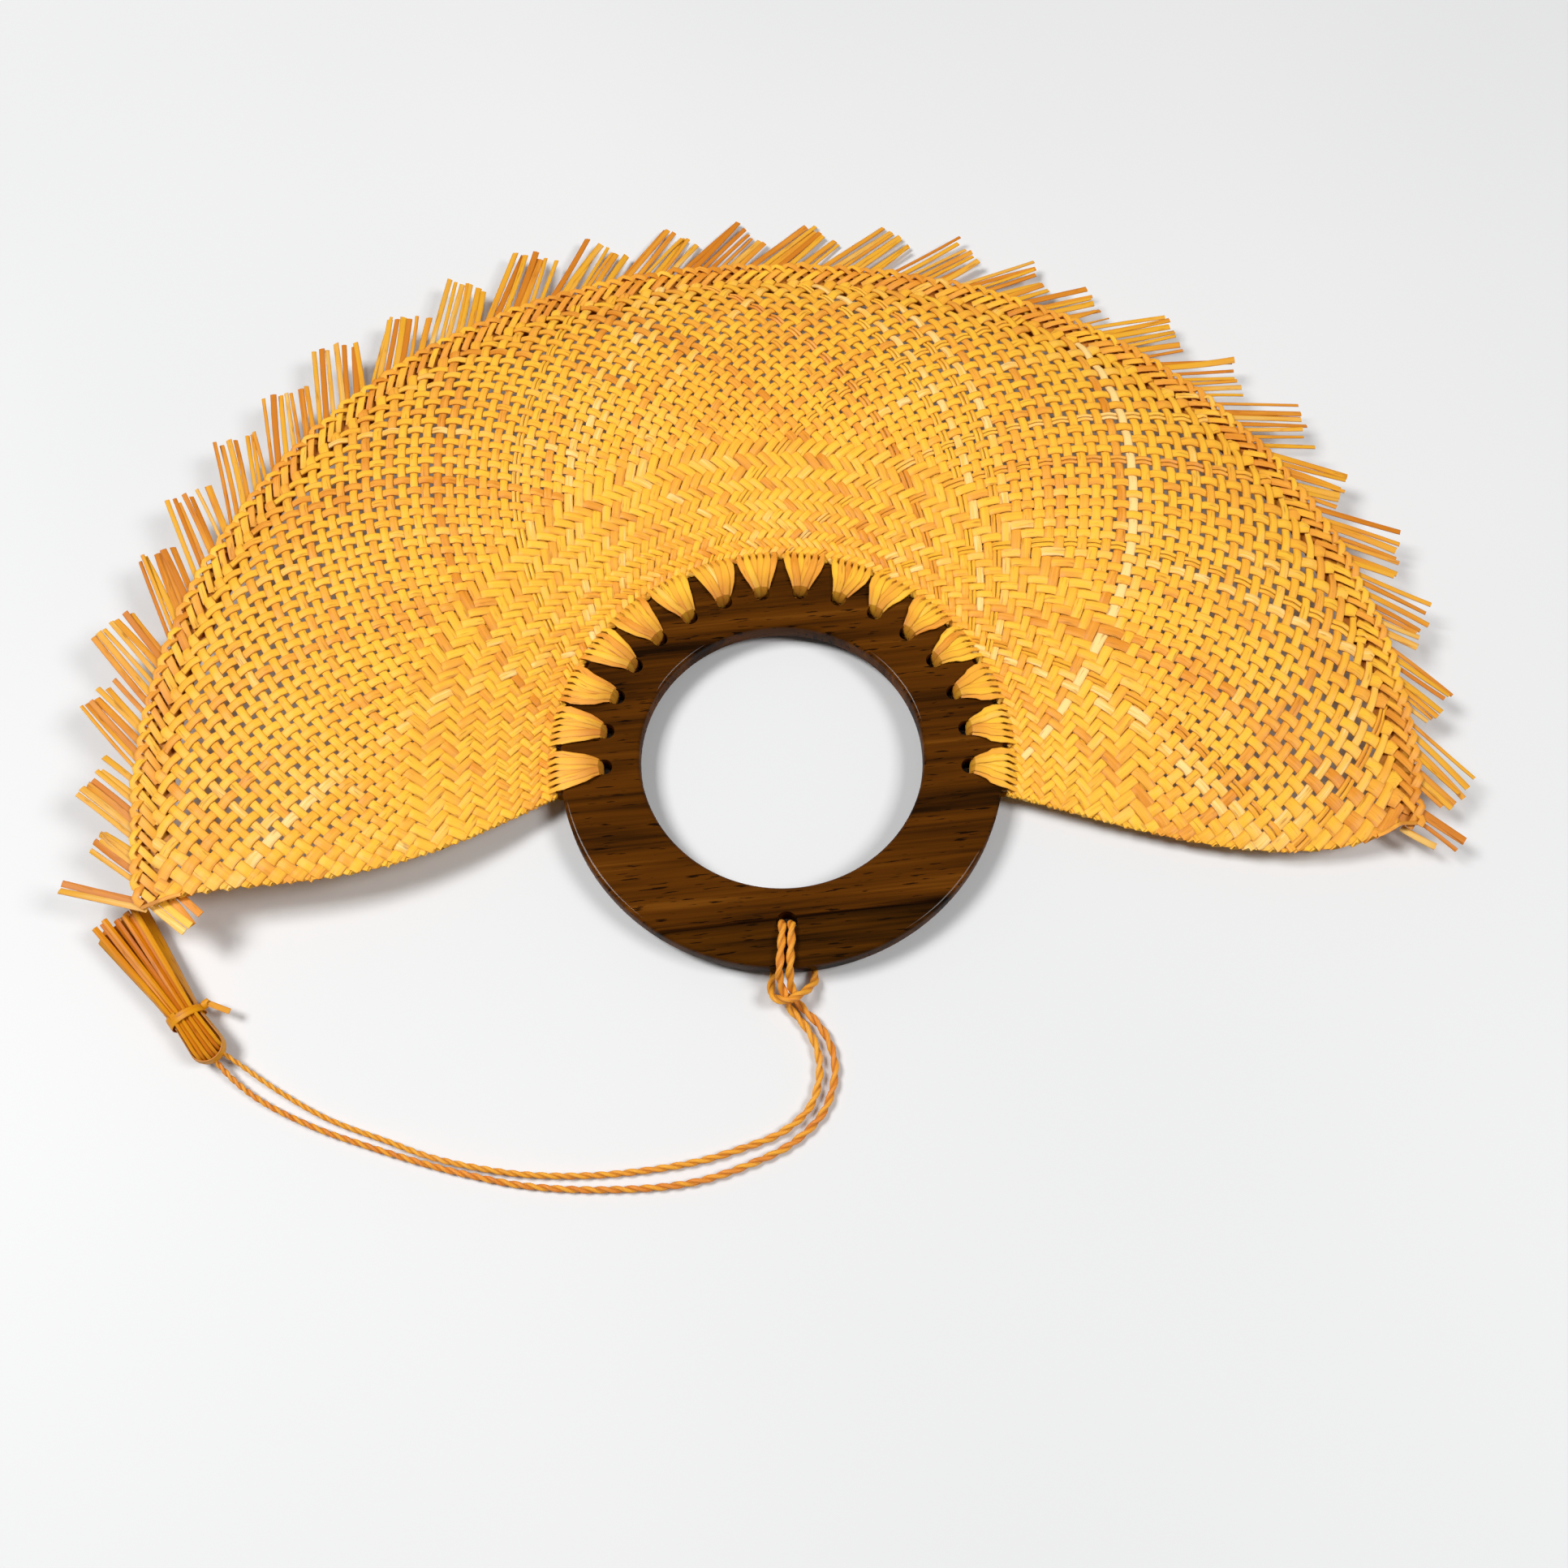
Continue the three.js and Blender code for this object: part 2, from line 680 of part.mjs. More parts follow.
function tasselStrip(column, layer) {
  const across = tasselStripsAcross === 1 ? 0 : column / (tasselStripsAcross - 1) - 0.5;
  const neck = 2 * (tasselHeadRadius - tasselStripWidth);
  const depth = tasselHeadDepth / (tasselLayers + 1);
  const z = (layer - (tasselLayers - 1) / 2) * depth;
  const start = tieOffset;
  const stagger = ((column + 2 * layer) % 3) - 1;
  const end = tasselLength - tasselHeadRadius + stagger * tasselStripWidth;
  const ring = (x, y) => [
    new THREE.Vector3(x, y - tasselStripWidth / 2, z - tasselStripThickness / 2),
    new THREE.Vector3(x, y + tasselStripWidth / 2, z - tasselStripThickness / 2),
    new THREE.Vector3(x, y + tasselStripWidth / 2, z + tasselStripThickness / 2),
    new THREE.Vector3(x, y - tasselStripWidth / 2, z + tasselStripThickness / 2),
  ];
  return loft([ring(start, across * neck), ring(end, across * tasselSpread)]);
}

function tasselStrips() {
  let solid = toManifold(tasselFold());
  for (let layer = 0; layer < tasselLayers; layer++) {
    for (let column = 0; column < tasselStripsAcross; column++) {
      solid = solid.add(toManifold(tasselStrip(column, layer)));
    }
  }
  return fromManifold(solid);
}

// Tie: a flat strip wound round the neck, with its knot and tail on the right
function tasselTie() {
  const rings = [];
  for (let k = 0; k < tasselSides; k++) {
    const turn = (k / tasselSides) * 2 * Math.PI;
    const outward = new THREE.Vector2(Math.cos(turn), Math.sin(turn));
    const ring = [];
    for (const [along, out] of [[-0.5, 0], [0.5, 0], [0.5, 1], [-0.5, 1]]) {
      const grow = seat + out * tieThickness;
      const y = outward.x * (tasselHeadRadius + grow);
      const z = outward.y * (tasselHeadDepth / 2 + grow);
      ring.push(new THREE.Vector3(tieOffset + along * tieWidth, y, z));
    }
    rings.push(ring);
  }
  const knotRadius = 0.8 * tieWidth;
  const side = tasselHeadRadius + seat + knotRadius;
  const knot = new THREE.IcosahedronGeometry(knotRadius, 1);
  knot.translate(tieOffset, -side, 0);
  const tail = new THREE.BoxGeometry(tieWidth * 0.9, tieTailLength, tieThickness);
  tail.translate(0, -tieTailLength / 2, 0);
  tail.rotateZ(radians(tieTailTurn));
  tail.translate(tieOffset, -side, 0);
  const solid = toManifold(loft(rings, true)).add(toManifold(knot)).add(toManifold(tail));
  return fromManifold(solid);
}

function tassel() {
  const group = new THREE.Group();
  group.add(named('tassel_strips', tasselStrips(), palmDark));
  group.add(named('tassel_tie', tasselTie(), palmDark));
  group.position.set(tasselHead[0], tasselHead[1], tasselHeight);
  group.rotation.z = radians(tasselTurn);
  return group;
}

// The fan itself, and the cord with its tassel beside it

function fanBody() {
  const group = new THREE.Group();
  group.add(named('ring_handle', ringHandle(), wood));
  group.add(named('woven_leaf', wovenLeaf(), palm));
  group.add(named('rim_braid', rimBraid(), palm));
  for (let i = 0; i < laceCount; i++) {
    const name = `lace_${String(i + 1).padStart(2, '0')}`;
    group.add(named(name, laceBundle(i), palmPale));
  }
  group.add(fringe(), cornerEnds());
  return group;
}

const fan = new THREE.Group();
const body = fanBody();
fan.add(body, wristCord(), tassel());

// The origin is under the middle of the fan's own box, the cord left out
const box = new THREE.Box3().setFromObject(body, true);
const middle = box.getCenter(new THREE.Vector3());
fan.position.set(-middle.x, -middle.y, -box.min.z);

export default fan;
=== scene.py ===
# Palm leaf fan: wooden ring, woven leaf, rim, fringe, lacing, wrist cord and tassel.
# Shapes are drawn in millimetres from the ring's centre, with z up from the table, and then put in the frame.
# A strip's tone goes from about 0, orange, to 1, straw; its stain and painted shade from 0, clean, to 1,
# brown.

import math

import bpy
import numpy as np
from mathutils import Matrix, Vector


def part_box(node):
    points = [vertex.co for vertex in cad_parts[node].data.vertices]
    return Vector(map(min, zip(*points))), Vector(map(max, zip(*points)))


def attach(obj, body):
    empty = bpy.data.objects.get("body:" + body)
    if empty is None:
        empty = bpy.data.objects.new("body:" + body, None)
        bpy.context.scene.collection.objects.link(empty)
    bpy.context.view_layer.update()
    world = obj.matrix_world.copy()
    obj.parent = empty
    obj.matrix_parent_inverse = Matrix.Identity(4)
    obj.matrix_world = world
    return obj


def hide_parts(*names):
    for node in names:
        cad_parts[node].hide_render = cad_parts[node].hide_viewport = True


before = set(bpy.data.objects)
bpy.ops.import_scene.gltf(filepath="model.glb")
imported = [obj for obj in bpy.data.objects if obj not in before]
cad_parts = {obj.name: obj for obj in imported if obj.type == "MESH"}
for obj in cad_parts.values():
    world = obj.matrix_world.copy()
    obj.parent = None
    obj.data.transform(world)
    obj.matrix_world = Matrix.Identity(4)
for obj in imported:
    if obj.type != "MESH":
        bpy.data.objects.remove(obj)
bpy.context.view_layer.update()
bpy.ops.object.select_all(action="DESELECT")

chance = np.random.default_rng(7)

MM = 0.001
UP = np.array([0.0, 0.0, 1.0])
SMOOTH_ANGLE = 38

# Ring handle
RING_RADIUS, RING_SIDES = 54.7, 192
RING_HOLE_RADIUS, RING_HOLE_SIDES = 35.0, 144
RING_THICKNESS = 6.0
RING_EDGE_ROUND, RING_ROUND_STEPS = 1.2, 5
RING_BOTTOM = 2.4
RING_TOP = RING_BOTTOM + RING_THICKNESS
RING_MIDDLE = (RING_BOTTOM + RING_TOP) / 2
LACE_HOLE_RADIUS, LACE_HOLE_SIDES = 2.0, 24
LACE_CIRCLE_RADIUS = 45.0
LACE_CIRCLE_SHIFT = 1.2
CORD_HOLE_RADIUS, CORD_HOLE_SIDES = 2.5, 28
CORD_HOLE_PLACE = (43.6, -88.4)
DRILL_LENGTH = 2 * RING_THICKNESS
GRAIN_RISE = 6.5
HEARTWOOD_EDGE = -42.8

# Palm strips: points of a strip's section in half widths and thicknesses, and which of them lie on its edges
# and get painted shade
STRIP_SECTION = np.array([(-1.0, 0.16), (0.0, 0.5), (1.0, 0.16), (1.0, -0.16), (0.0, -0.5), (-1.0, -0.16)])
STRIP_EDGE_SHADE = np.array([1.0, 0.0, 1.0, 1.0, 0.0, 1.0])
STRIP_THICKNESS = 0.3
STRIP_MAP_UNIT = 10

# Woven leaf, angles in degrees from +X
LEAF_ROOT = 56.1
WEAVE_OUTER = 150.0
RIGHT_ROOT, RIGHT_TIP = -10.8, -7.6
LEFT_ROOT, LEFT_TIP = 191.5, 196.0
RIGHT_BULGE, RIGHT_BULGE_PEAK = 3.8, 0.57
LEFT_BULGE, LEFT_BULGE_PEAK = 5.2, 0.37
CREST_RIGHT, CREST_LEFT = 5.0, 8.5
EDGE_DROOP, EDGE_DROOP_BAND = 6.0, 0.15

# Weave: its strands go across from right to left, its rows out from the ring
WEAVE_STRANDS = 95
STRANDS_WIDE_AT_SIDES, STRANDS_WIDE_AT_RIGHT = 0.011, 0.029
STRAND_WIDTHS = (0.94, 1.03)
STRAND_SWAY = 0.06
SWAY_RATES, SWAY_STARTS = (0.15, 0.4), (0, 6.28)
PALE_STRAND_SHARE, PALE_STRAND_TONE = 0.015, 1.3
SPLIT_STRAND_SHARE = 0.06
BATCH_STRANDS = 5
BATCH_SHARE, BATCH_DRIFT = 0.3, 1.6
WEAVE_ROWS = 49
TWILL_ROWS = 24
CROSSING_STEPS = np.array([-0.26, 0.0, 0.26])
DENSE_EDGE_STRANDS = 3.0
OPENER_AT_LEFT = 1.05
# Painted shade: the weave's strips darken towards the rim, between these radii
WEAVE_OUTER_SHADE, WEAVE_SHADE_RADII = 0.1, (100, 150)
WEAVE_LIFT = 0.36
WEAVE_PAIRING, PAIRING_START, PAIRING_SPAN = 0.1, 3, 2.5
WEAVE_STRIP_THICKNESS = 0.85

# Rim: its height above the table, its flat core, its plaited strips and the bindings at its two ends
RIM_LOW, RIM_LOW_ANGLE, RIM_LOW_BLEND = 1.6, 88.0, 14.0
RIM_RISE_LEFT, RIM_WAVE_LEFT = 13.0, 1.05
RIM_RISE_RIGHT, RIM_WAVE_RIGHT = 9.0, 1.6
RIM_CORE_RADIUS, RIM_CORE_WIDTH, RIM_CORE_DROP = 150.6, 8.4, 0.9
RIM_CORE_INSET, RIM_CORE_STEPS = 0.7, 140
# The rim's core is darkened with painted shade where it shows between the strips
RIM_CORE_TONE, RIM_CORE_SHADE = 0.1, 0.55
RIM_STRIPS = 150
RIM_FIRST_STRIP, RIM_END_ROOM = 0.9, 0.4
RIM_STRIP_TURN = 2.3
RIM_STRIP_SCATTER = 0.22
RIM_STRIP_WIDTHS, RIM_STRIP_TONES = (1.5, 2.1), (-0.1, 0.6)
# Rim strips have their own random stains, and painted shade where they tuck under
RIM_STRIP_STAINS, RIM_TUCK_SHADE = (0.0, 0.1), 0.4
RIM_TILT, RIM_MIDDLE_RADIUS, RIM_HALF_WIDTH = 0.25, 152.5, 3
BINDING_REACH, BINDING_STEPS = (0.95, 1.05), 8
BINDING_INSET, BINDING_LIFT = 0.0016, 0.8
# The bindings are darker past the weave's outer edge
BINDING_WIDTH, BINDING_TONE, BINDING_OUTER_DARKENING = 1.0, 0.1, 0.5

# Fringe
FRINGE_RADIUS = 156.3
FRINGE_DROOP = 3.0
FRINGE_TUCK, FRINGE_SINK = 3.2, 0.3
FRINGE_LENGTH_RIGHT, FRINGE_LENGTH_LEFT = 19.5, 26.0
FRINGE_LEAN = 45.0
FRINGE_WIDTHS = (0.9, 1.9)
TUFT_COUNT = 27
TUFT_STRIPS = 7
TUFT_GAP = 1.2
FIRST_TUFT, LAST_TUFT, TUFT_CROWDING = -0.75, 186.4, 4.4
TUFT_END_SHORTENING = 0.78
TUFT_LENGTH_SCATTER, TUFT_LEAN_SCATTER = 0.05, 3.5
FOOT_SCATTER, CUT_SCATTER = 0.3, 0.5

# Short tufts at the rim's two ends: angle, number of strips, pitch, length and lean
END_TUFTS = [(191.6, 5, 1.7, 13, FRINGE_LEAN), (195.2, 2, 1.4, 19, 28), (-6.4, 3, 1.5, 12, 31)]

# Loose strip ends, in the fringe and at the leaf's two lower corners
STRIP_ON_TABLE = 0.55
STRIP_END_THICKNESS, STRIP_END_STEPS = 0.45, 6
STRIP_END_BEND, STRIP_END_RISE, STRIP_END_TWIST = 0.5, 0.15, 0.25
STRIP_END_TONES = (-0.3, 0.95)
PALE_STRIP_TONES = (0.95, 1.1)
CORNER_STRIP_WIDTH = 1.8
LEFT_CORNER_STRIPS, LEFT_CORNER_PITCH, LEFT_CORNER_SHIFT = 4, 1.9, 1.2
LEFT_CORNER_HEADING, LEFT_CORNER_LENGTH = -40, 11.4
LEFT_CORNER_TUCK, LEFT_CORNER_DROP = 3, 1.3
RIGHT_TAIL_RADIUS, RIGHT_TAIL_DROP = 153.15, 1.9
RIGHT_TAIL_HEADING, RIGHT_TAIL_LENGTH, RIGHT_TAIL_TUCK = -38, 9, 1.8

# Lacing
LACE_COUNT = 16
LACE_STRIPS = 6
LACE_PITCH = 1.85
LACE_SKEW = 0.5
LACE_TONES = (0.1, 0.65)
LACE_HOLE_REACH = 50
LACE_NECK_START, LACE_NECK_LENGTH = 57, 11
LACE_PILE_FOOT, LACE_PILE_STEP = 0.15, 0.3
# Painted shade darkens the lace strips where they go down into their holes
LACE_SHADE, LACE_SHADE_GROWTH, LACE_SHADE_START = 0.5, 1.9, 0.9

# Wrist cord: its fullness is its radius at each end, its lay the length of one turn of its plies at each end
CORD_STEP, ROUTE_SAMPLES = 0.45, 24
HITCH_FULLNESS, INNER_FULLNESS, OUTER_FULLNESS = (1.05, 1.05), (1.0, 0.58), (1.0, 0.68)
HITCH_LAY, RUN_LAY = (8.6, 8.6), (8.6, 4.6)
PLY_RADIUS, PLY_OFFSET, PLY_SIDES = 0.64, 0.36, 7
# Painted shade in the crease between the two plies
PLY_CREASE_SHADE, PLY_CREASE_SHADE_DEPTH = 0.85, 0.62
PLY_TONES = (0.1, 0.7)

# Heights of the cord's middle line
ON_TABLE = 1.12
ON_RUNS = ON_TABLE + 2.3
OVER_STRANDS = ON_RUNS + 2.6
OVER_RING = RING_TOP + 1.3
UNDER_RING = RING_BOTTOM - 1.3
IN_FOLD = 3.3

# Tassel: its lengths are from the middle of its fold
TASSEL_HEAD = (-132.7, -72.5, 4.22)
TASSEL_TURN = 129.8
TASSEL_TONES, TASSEL_STRIP_THICKNESS = (-0.3, 0.85), 0.75
FOLD_STEPS, FOLD_BACK, FOLD_BOW = 9, 1.2, 0.2
TAIL_STEPS, TAIL_END = (1.5, 5.0, 9.0, 12.0, 16.0, 22.0, 30.0), 39.5
TAIL_END_SCATTER, TAIL_SIDE_SCATTER, TAIL_HEIGHT_SCATTER, TAIL_TILT_SCATTER = 1.2, 0.35, 0.35, 0.45
TAIL_FAN, TAIL_FAN_RISE = 30, 0.1
NECK_SHARE, NECK_END, NECK_DRAW = 0.6, 24, 0.85
WRAPPED_STRIP_WIDTH, WRAPPED_STRIP_TONES = 3.0, (0.8, 0.95)
WRAPPED_FOLD_STEPS, WRAPPED_FOLD_RADIUS, WRAPPED_NECK_DRAW = 13, 3.7, 0.86
WRAPPED_TAIL_STEPS = (4.0, 9.0, 13.0, 20.0, 28.0, 38.0)
WRAPPED_TAIL_REACH, WRAPPED_TAIL_RISE = 5.6, 0.6

# Layers of folded strips: strips to each side, pitch at the neck and at the ends, height, stagger and width
TASSEL_LAYERS = [(3, 0.92, 1.7, 2.2, 0.35, 1.4), (2, 1.0, 2.1, 1.2, 0.0, 1.7)]

# Tie, its knot and its tail
TIE_PLACE = 9
TIE_WINDING, TIE_STEPS = (-0.5 * np.pi, 4.4 * np.pi), 64
KNOT_WINDING, KNOT_STEPS = (0, 2.6 * np.pi), 20
TIE_STRIP_WIDTH, TIE_TAIL_WIDTH = 1.3, 1.4
TIE_TONE, KNOT_TONE, TIE_TAIL_TONE = 0.6, 0.7, 0.75
TIE_HALF_WIDTH, TIE_HALF_HEIGHT = 4.25, 3.45
TIE_SPREAD, TIE_SPREAD_MIDDLE, TIE_SLANT = 1.7, 0.45, 0.5
KNOT_RADIUS, KNOT_SIDE, KNOT_SIDE_REACH = 0.9, -5.2, 0.5
TIE_TAIL_START, TIE_TAIL_LENGTH = np.array([9.0, -5.4, 0.4]), 6
TIE_TAIL_DIRECTION, TIE_TAIL_FACE = np.array([-0.866, -0.5, -0.05]), np.array([0.1, 0, 1.0])

# Table, backdrop and lamps, in metres and watts
TABLE_SIZE, TABLE_SINK, TABLE_ROUGHNESS = 8, 0.0003, 0.55
TABLE_COLOURS = [(0.3, (0.70, 0.705, 0.71)), (0.7, (0.75, 0.75, 0.75))]
TABLE_FADE_START, TABLE_FADE_END = 0.42, 1.2
BACKDROP_COLOUR = (0.85, 0.85, 0.86)
SKY_SHADES = [(0.0, (0.24, 0.24, 0.24)), (0.6, (0.13, 0.13, 0.13))]
FRONT_SHADES = [(0.0, (0.2, 0.2, 0.2)), (0.4, (1, 1, 1))]
SOFTBOX_SIZE = 0.5
SOFTBOXES = [("left softbox", (-0.8, 0.05, 1.28), 18.3), ("right softbox", (0.9, -0.25, 1.2), 12.3)]

# Camera, as fitted to the photograph
CAMERA_FILM, CAMERA_LENS = 36, 36.09
CAMERA_NEAR = 0.01
CAMERA_ELEVATION, CAMERA_DISTANCE = 67.5, 390.5
CAMERA_TARGET = np.array([0.53, -6.0, RING_BOTTOM])

ring_low, ring_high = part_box("ring_handle")
RING_CENTRE = np.array([
    (ring_low[0] + ring_high[0]) / 2,
    (ring_low[1] + ring_high[1]) / 2,
    ring_low[2] - RING_BOTTOM * MM,
])


def in_frame(points):
    return np.asarray(points, float) * MM + RING_CENTRE


def mix(a, b, t):
    return a + (b - a) * t


def columns(x, y, z):
    return np.stack(np.broadcast_arrays(x, y, z), axis=-1)


def polar(radius, degrees, z):
    turn = np.radians(degrees)
    return columns(radius * np.cos(turn), radius * np.sin(turn), z)


def unit(vectors):
    return vectors / np.linalg.norm(vectors, axis=-1, keepdims=True)


def path_lengths(path):
    steps = np.linalg.norm(np.diff(path, axis=0), axis=1)
    return np.concatenate([[0.0], np.cumsum(steps)])


# The leaf's surface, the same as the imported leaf's: s runs from the ring to the rim, t from right to left

def edge_bow(s, peak):
    inside = np.clip(s, 0, 1)
    return (inside / peak) * ((1 - inside) / (1 - peak)) ** ((1 - peak) / peak)


def edge_angles(s):
    right = mix(RIGHT_ROOT, RIGHT_TIP, s) - RIGHT_BULGE * edge_bow(s, RIGHT_BULGE_PEAK)
    left = mix(LEFT_ROOT, LEFT_TIP, s) + LEFT_BULGE * edge_bow(s, LEFT_BULGE_PEAK)
    return right, left


def rim_height(degrees):
    turn = np.asarray(degrees, float) - RIM_LOW_ANGLE
    eased = np.radians(np.hypot(turn, RIM_LOW_BLEND) - RIM_LOW_BLEND)
    left = RIM_LOW + RIM_RISE_LEFT * np.sin(eased * RIM_WAVE_LEFT)
    right = RIM_LOW + RIM_RISE_RIGHT * np.sin(eased * RIM_WAVE_RIGHT)
    return np.where(turn >= 0, left, right)


def crest_height(t):
    near_right = np.maximum(0, 1 - t / EDGE_DROOP_BAND)
    near_left = np.maximum(0, 1 - (1 - t) / EDGE_DROOP_BAND)
    return mix(CREST_RIGHT, CREST_LEFT, t) - EDGE_DROOP * (near_right ** 2 + near_left ** 2)


# The dish is 1 at its highest
def leaf_point(s, t):
    right, left = edge_angles(s)
    degrees = mix(right, left, t)
    dish = s * (1 - s * s) * 1.5 * math.sqrt(3)
    z = mix(RING_MIDDLE, rim_height(degrees), s) + crest_height(t) * dish
    return polar(mix(LEAF_ROOT, WEAVE_OUTER, s), degrees, z)


# Palm strips: each is a thin crowned ribbon, and many of them make one piece

class StripSheaf:
    def __init__(self):
        self.points = []
        self.faces = []
        self.uvs = []
        self.marks = {"strip_tone": [], "strip_edge": [], "strip_stain": []}
        self.count = 0

    # rings: one section of points for each step along the strip
    # edge: how much painted shade darkens each point of a section, at a strip's edges or in a cord's crease
    def add_skin(self, rings, across, lengths, edge, tone, stain_and_shade):
        steps, sides = rings.shape[:2]
        index = self.count + np.arange(steps * sides).reshape(steps, sides)
        turned = np.roll(index, -1, axis=1)
        quads = np.stack([index[:-1], turned[:-1], turned[1:], index[1:]], axis=-1)
        self.faces.extend(quads.reshape(-1, 4).tolist())
        self.faces.append(index[0][::-1].tolist())
        self.faces.append(index[-1].tolist())
        self.points.append(rings.reshape(-1, 3))
        along = np.repeat(np.asarray(lengths)[:, None], sides, axis=1)
        self.uvs.append(np.stack([across, along], axis=-1).reshape(-1, 2) / STRIP_MAP_UNIT)
        self.marks["strip_tone"].append(np.full(steps * sides, tone))
        self.marks["strip_edge"].append(np.tile(edge, steps))
        self.marks["strip_stain"].append(np.repeat(np.broadcast_to(stain_and_shade, steps), sides))
        self.count += steps * sides

    # path: the strip's middle line; up: the side its face looks to, at each step or throughout
    def add_strip(self, path, up, width, tone, stain_and_shade=0.0, thickness=STRIP_THICKNESS):
        path = np.asarray(path, float)
        along = unit(np.gradient(path, axis=0))
        side = unit(np.cross(along, up))
        face = np.cross(side, along)
        half = np.broadcast_to(np.asarray(width, float) / 2, len(path))
        across = half[:, None] * STRIP_SECTION[:, 0]
        rise = thickness * STRIP_SECTION[:, 1]
        rings = path[:, None] + side[:, None] * across[..., None] + face[:, None] * rise[None, :, None]
        self.add_skin(rings, across, path_lengths(path), STRIP_EDGE_SHADE, tone, stain_and_shade)

    def make_piece(self, name, material, body, nodes):
        mesh = bpy.data.meshes.new(name)
        mesh.from_pydata(in_frame(np.concatenate(self.points)), [], self.faces)
        for mark, values in self.marks.items():
            mesh.attributes.new(mark, "FLOAT", "POINT").data.foreach_set("value", np.concatenate(values))
        corners = np.empty(len(mesh.loops), int)
        mesh.loops.foreach_get("vertex_index", corners)
        layer = mesh.uv_layers.new(name="strip")
        layer.uv.foreach_set("vector", np.concatenate(self.uvs)[corners].ravel())
        piece = bpy.data.objects.new(name, mesh)
        bpy.context.collection.objects.link(piece)
        finish_piece(piece, material, body, nodes)
        return piece


def finish_piece(piece, material, body, nodes):
    bpy.ops.object.select_all(action="DESELECT")
    piece.select_set(True)
    bpy.context.view_layer.objects.active = piece
    bpy.ops.object.shade_smooth_by_angle(angle=math.radians(SMOOTH_ANGLE))
    piece.select_set(False)
    piece.data.materials.clear()
    piece.data.materials.append(material)
    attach(piece, body)
    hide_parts(*nodes)


# Materials

def new_material(name):
    material = bpy.data.materials.new(name)
    material.use_nodes = True
    tree = material.node_tree
    return material, tree, tree.nodes["Principled BSDF"]


def add_node(tree, kind, **settings):
    node = tree.nodes.new(kind)
    for key, value in settings.items():
        setattr(node, key, value)
    return node


def join(tree, source, target):
    tree.links.new(source, target)


# A socket is fed with a colour, a plain number or another node's output
def feed(tree, socket, value):
    if isinstance(value, tuple):
        socket.default_value = (*value, 1)
    elif isinstance(value, (int, float)):
        socket.default_value = value
    else:
        join(tree, value, socket)


def feed_all(tree, node, inputs):
    for name, value in inputs.items():
        feed(tree, node.inputs[name], value)


def arithmetic(tree, operation, first, second):
    node = add_node(tree, "ShaderNodeMath", operation=operation)
    feed(tree, node.inputs[0], first)
    feed(tree, node.inputs[1], second)
    return node.outputs[0]


def scale_and_shift(tree, value, times, plus):
    scaled = arithmetic(tree, "MULTIPLY_ADD", value, times)
    scaled.node.inputs[2].default_value = plus
    return scaled


def colour_ramp(tree, position, stops):
    node = add_node(tree, "ShaderNodeValToRGB")
    ramp = node.color_ramp
    while len(ramp.elements) < len(stops):
        ramp.elements.new(0.5)
    for element, (place, colour) in zip(ramp.elements, stops):
        element.position = place
        element.color = (*colour, 1)
    join(tree, position, node.inputs["Fac"])
    return node.outputs["Color"]


def blend_colour(tree, factor, first, second, kind="MIX"):
    node = add_node(tree, "ShaderNodeMix", data_type="RGBA", blend_type=kind)
    feed_all(tree, node, {"Factor": factor, "A": first, "B": second})
    return node.outputs["Result"]


# Noise drawn out along axes that are turned by an angle; scale: how many times it changes in a unit of each
def stretched_noise(tree, vector, scale, detail, turn=0.0, shift=0.0, distortion=0.0):
    mapping = add_node(tree, "ShaderNodeMapping", vector_type="TEXTURE")
    mapping.inputs["Rotation"].default_value = (0, 0, turn)
    mapping.inputs["Scale"].default_value = [1 / times for times in scale]
    join(tree, vector, mapping.inputs["Vector"])
    noise = add_node(tree, "ShaderNodeTexNoise", noise_dimensions="4D")
    join(tree, mapping.outputs["Vector"], noise.inputs["Vector"])
    feed_all(tree, noise, {"W": shift, "Scale": 1, "Detail": detail, "Distortion": distortion})
    return noise.outputs["Fac"]


def add_bump(tree, shader, height, strength, depth):
    bump = add_node(tree, "ShaderNodeBump")
    feed_all(tree, bump, {"Strength": strength, "Distance": depth * MM, "Height": height})
    join(tree, bump.outputs["Normal"], shader.inputs["Normal"])


PALM_SOCKETS = {
    "INPUT": {"Strip": "Vector", "Tone": "Float", "Edge": "Float", "Stain": "Float", "Tint": "Color"},
    "OUTPUT": {"Color": "Color", "Roughness": "Float", "Height": "Float"},
}
PALM_COLOURS = [
    (0.00, (0.74, 0.28, 0.022)),
    (0.20, (0.86, 0.38, 0.050)),
    (0.42, (0.94, 0.49, 0.042)),
    (0.66, (0.97, 0.57, 0.045)),
    (0.86, (0.96, 0.56, 0.110)),
    (1.00, (0.97, 0.72, 0.290)),
]
NOISE_APART = 41.0
TONE_SHARE, TONE_SHIFT, FIBRE_SHARE = 0.8, -0.38, 0.8
FLECK_STOPS, FLECK_COLOUR = [(0.60, (0, 0, 0)), (0.72, (0.6, 0.6, 0.6))], (0.40, 0.13, 0.014)
# Painted shade along the strips' edges
EDGE_SHADE_POWER, EDGE_SHADE_SHARE, EDGE_SHADE_COLOUR = 4.0, 0.5, (0.45, 0.14, 0.010)
# Colour of stains and of painted shade
STAIN_AND_SHADE_COLOUR = (0.28, 0.05, 0.004)
PALM_ROUGHNESS, FIBRE_ROUGHNESS = 0.34, 0.3
PALM_SHINE, PALM_BUMP = 0.28, 0.5
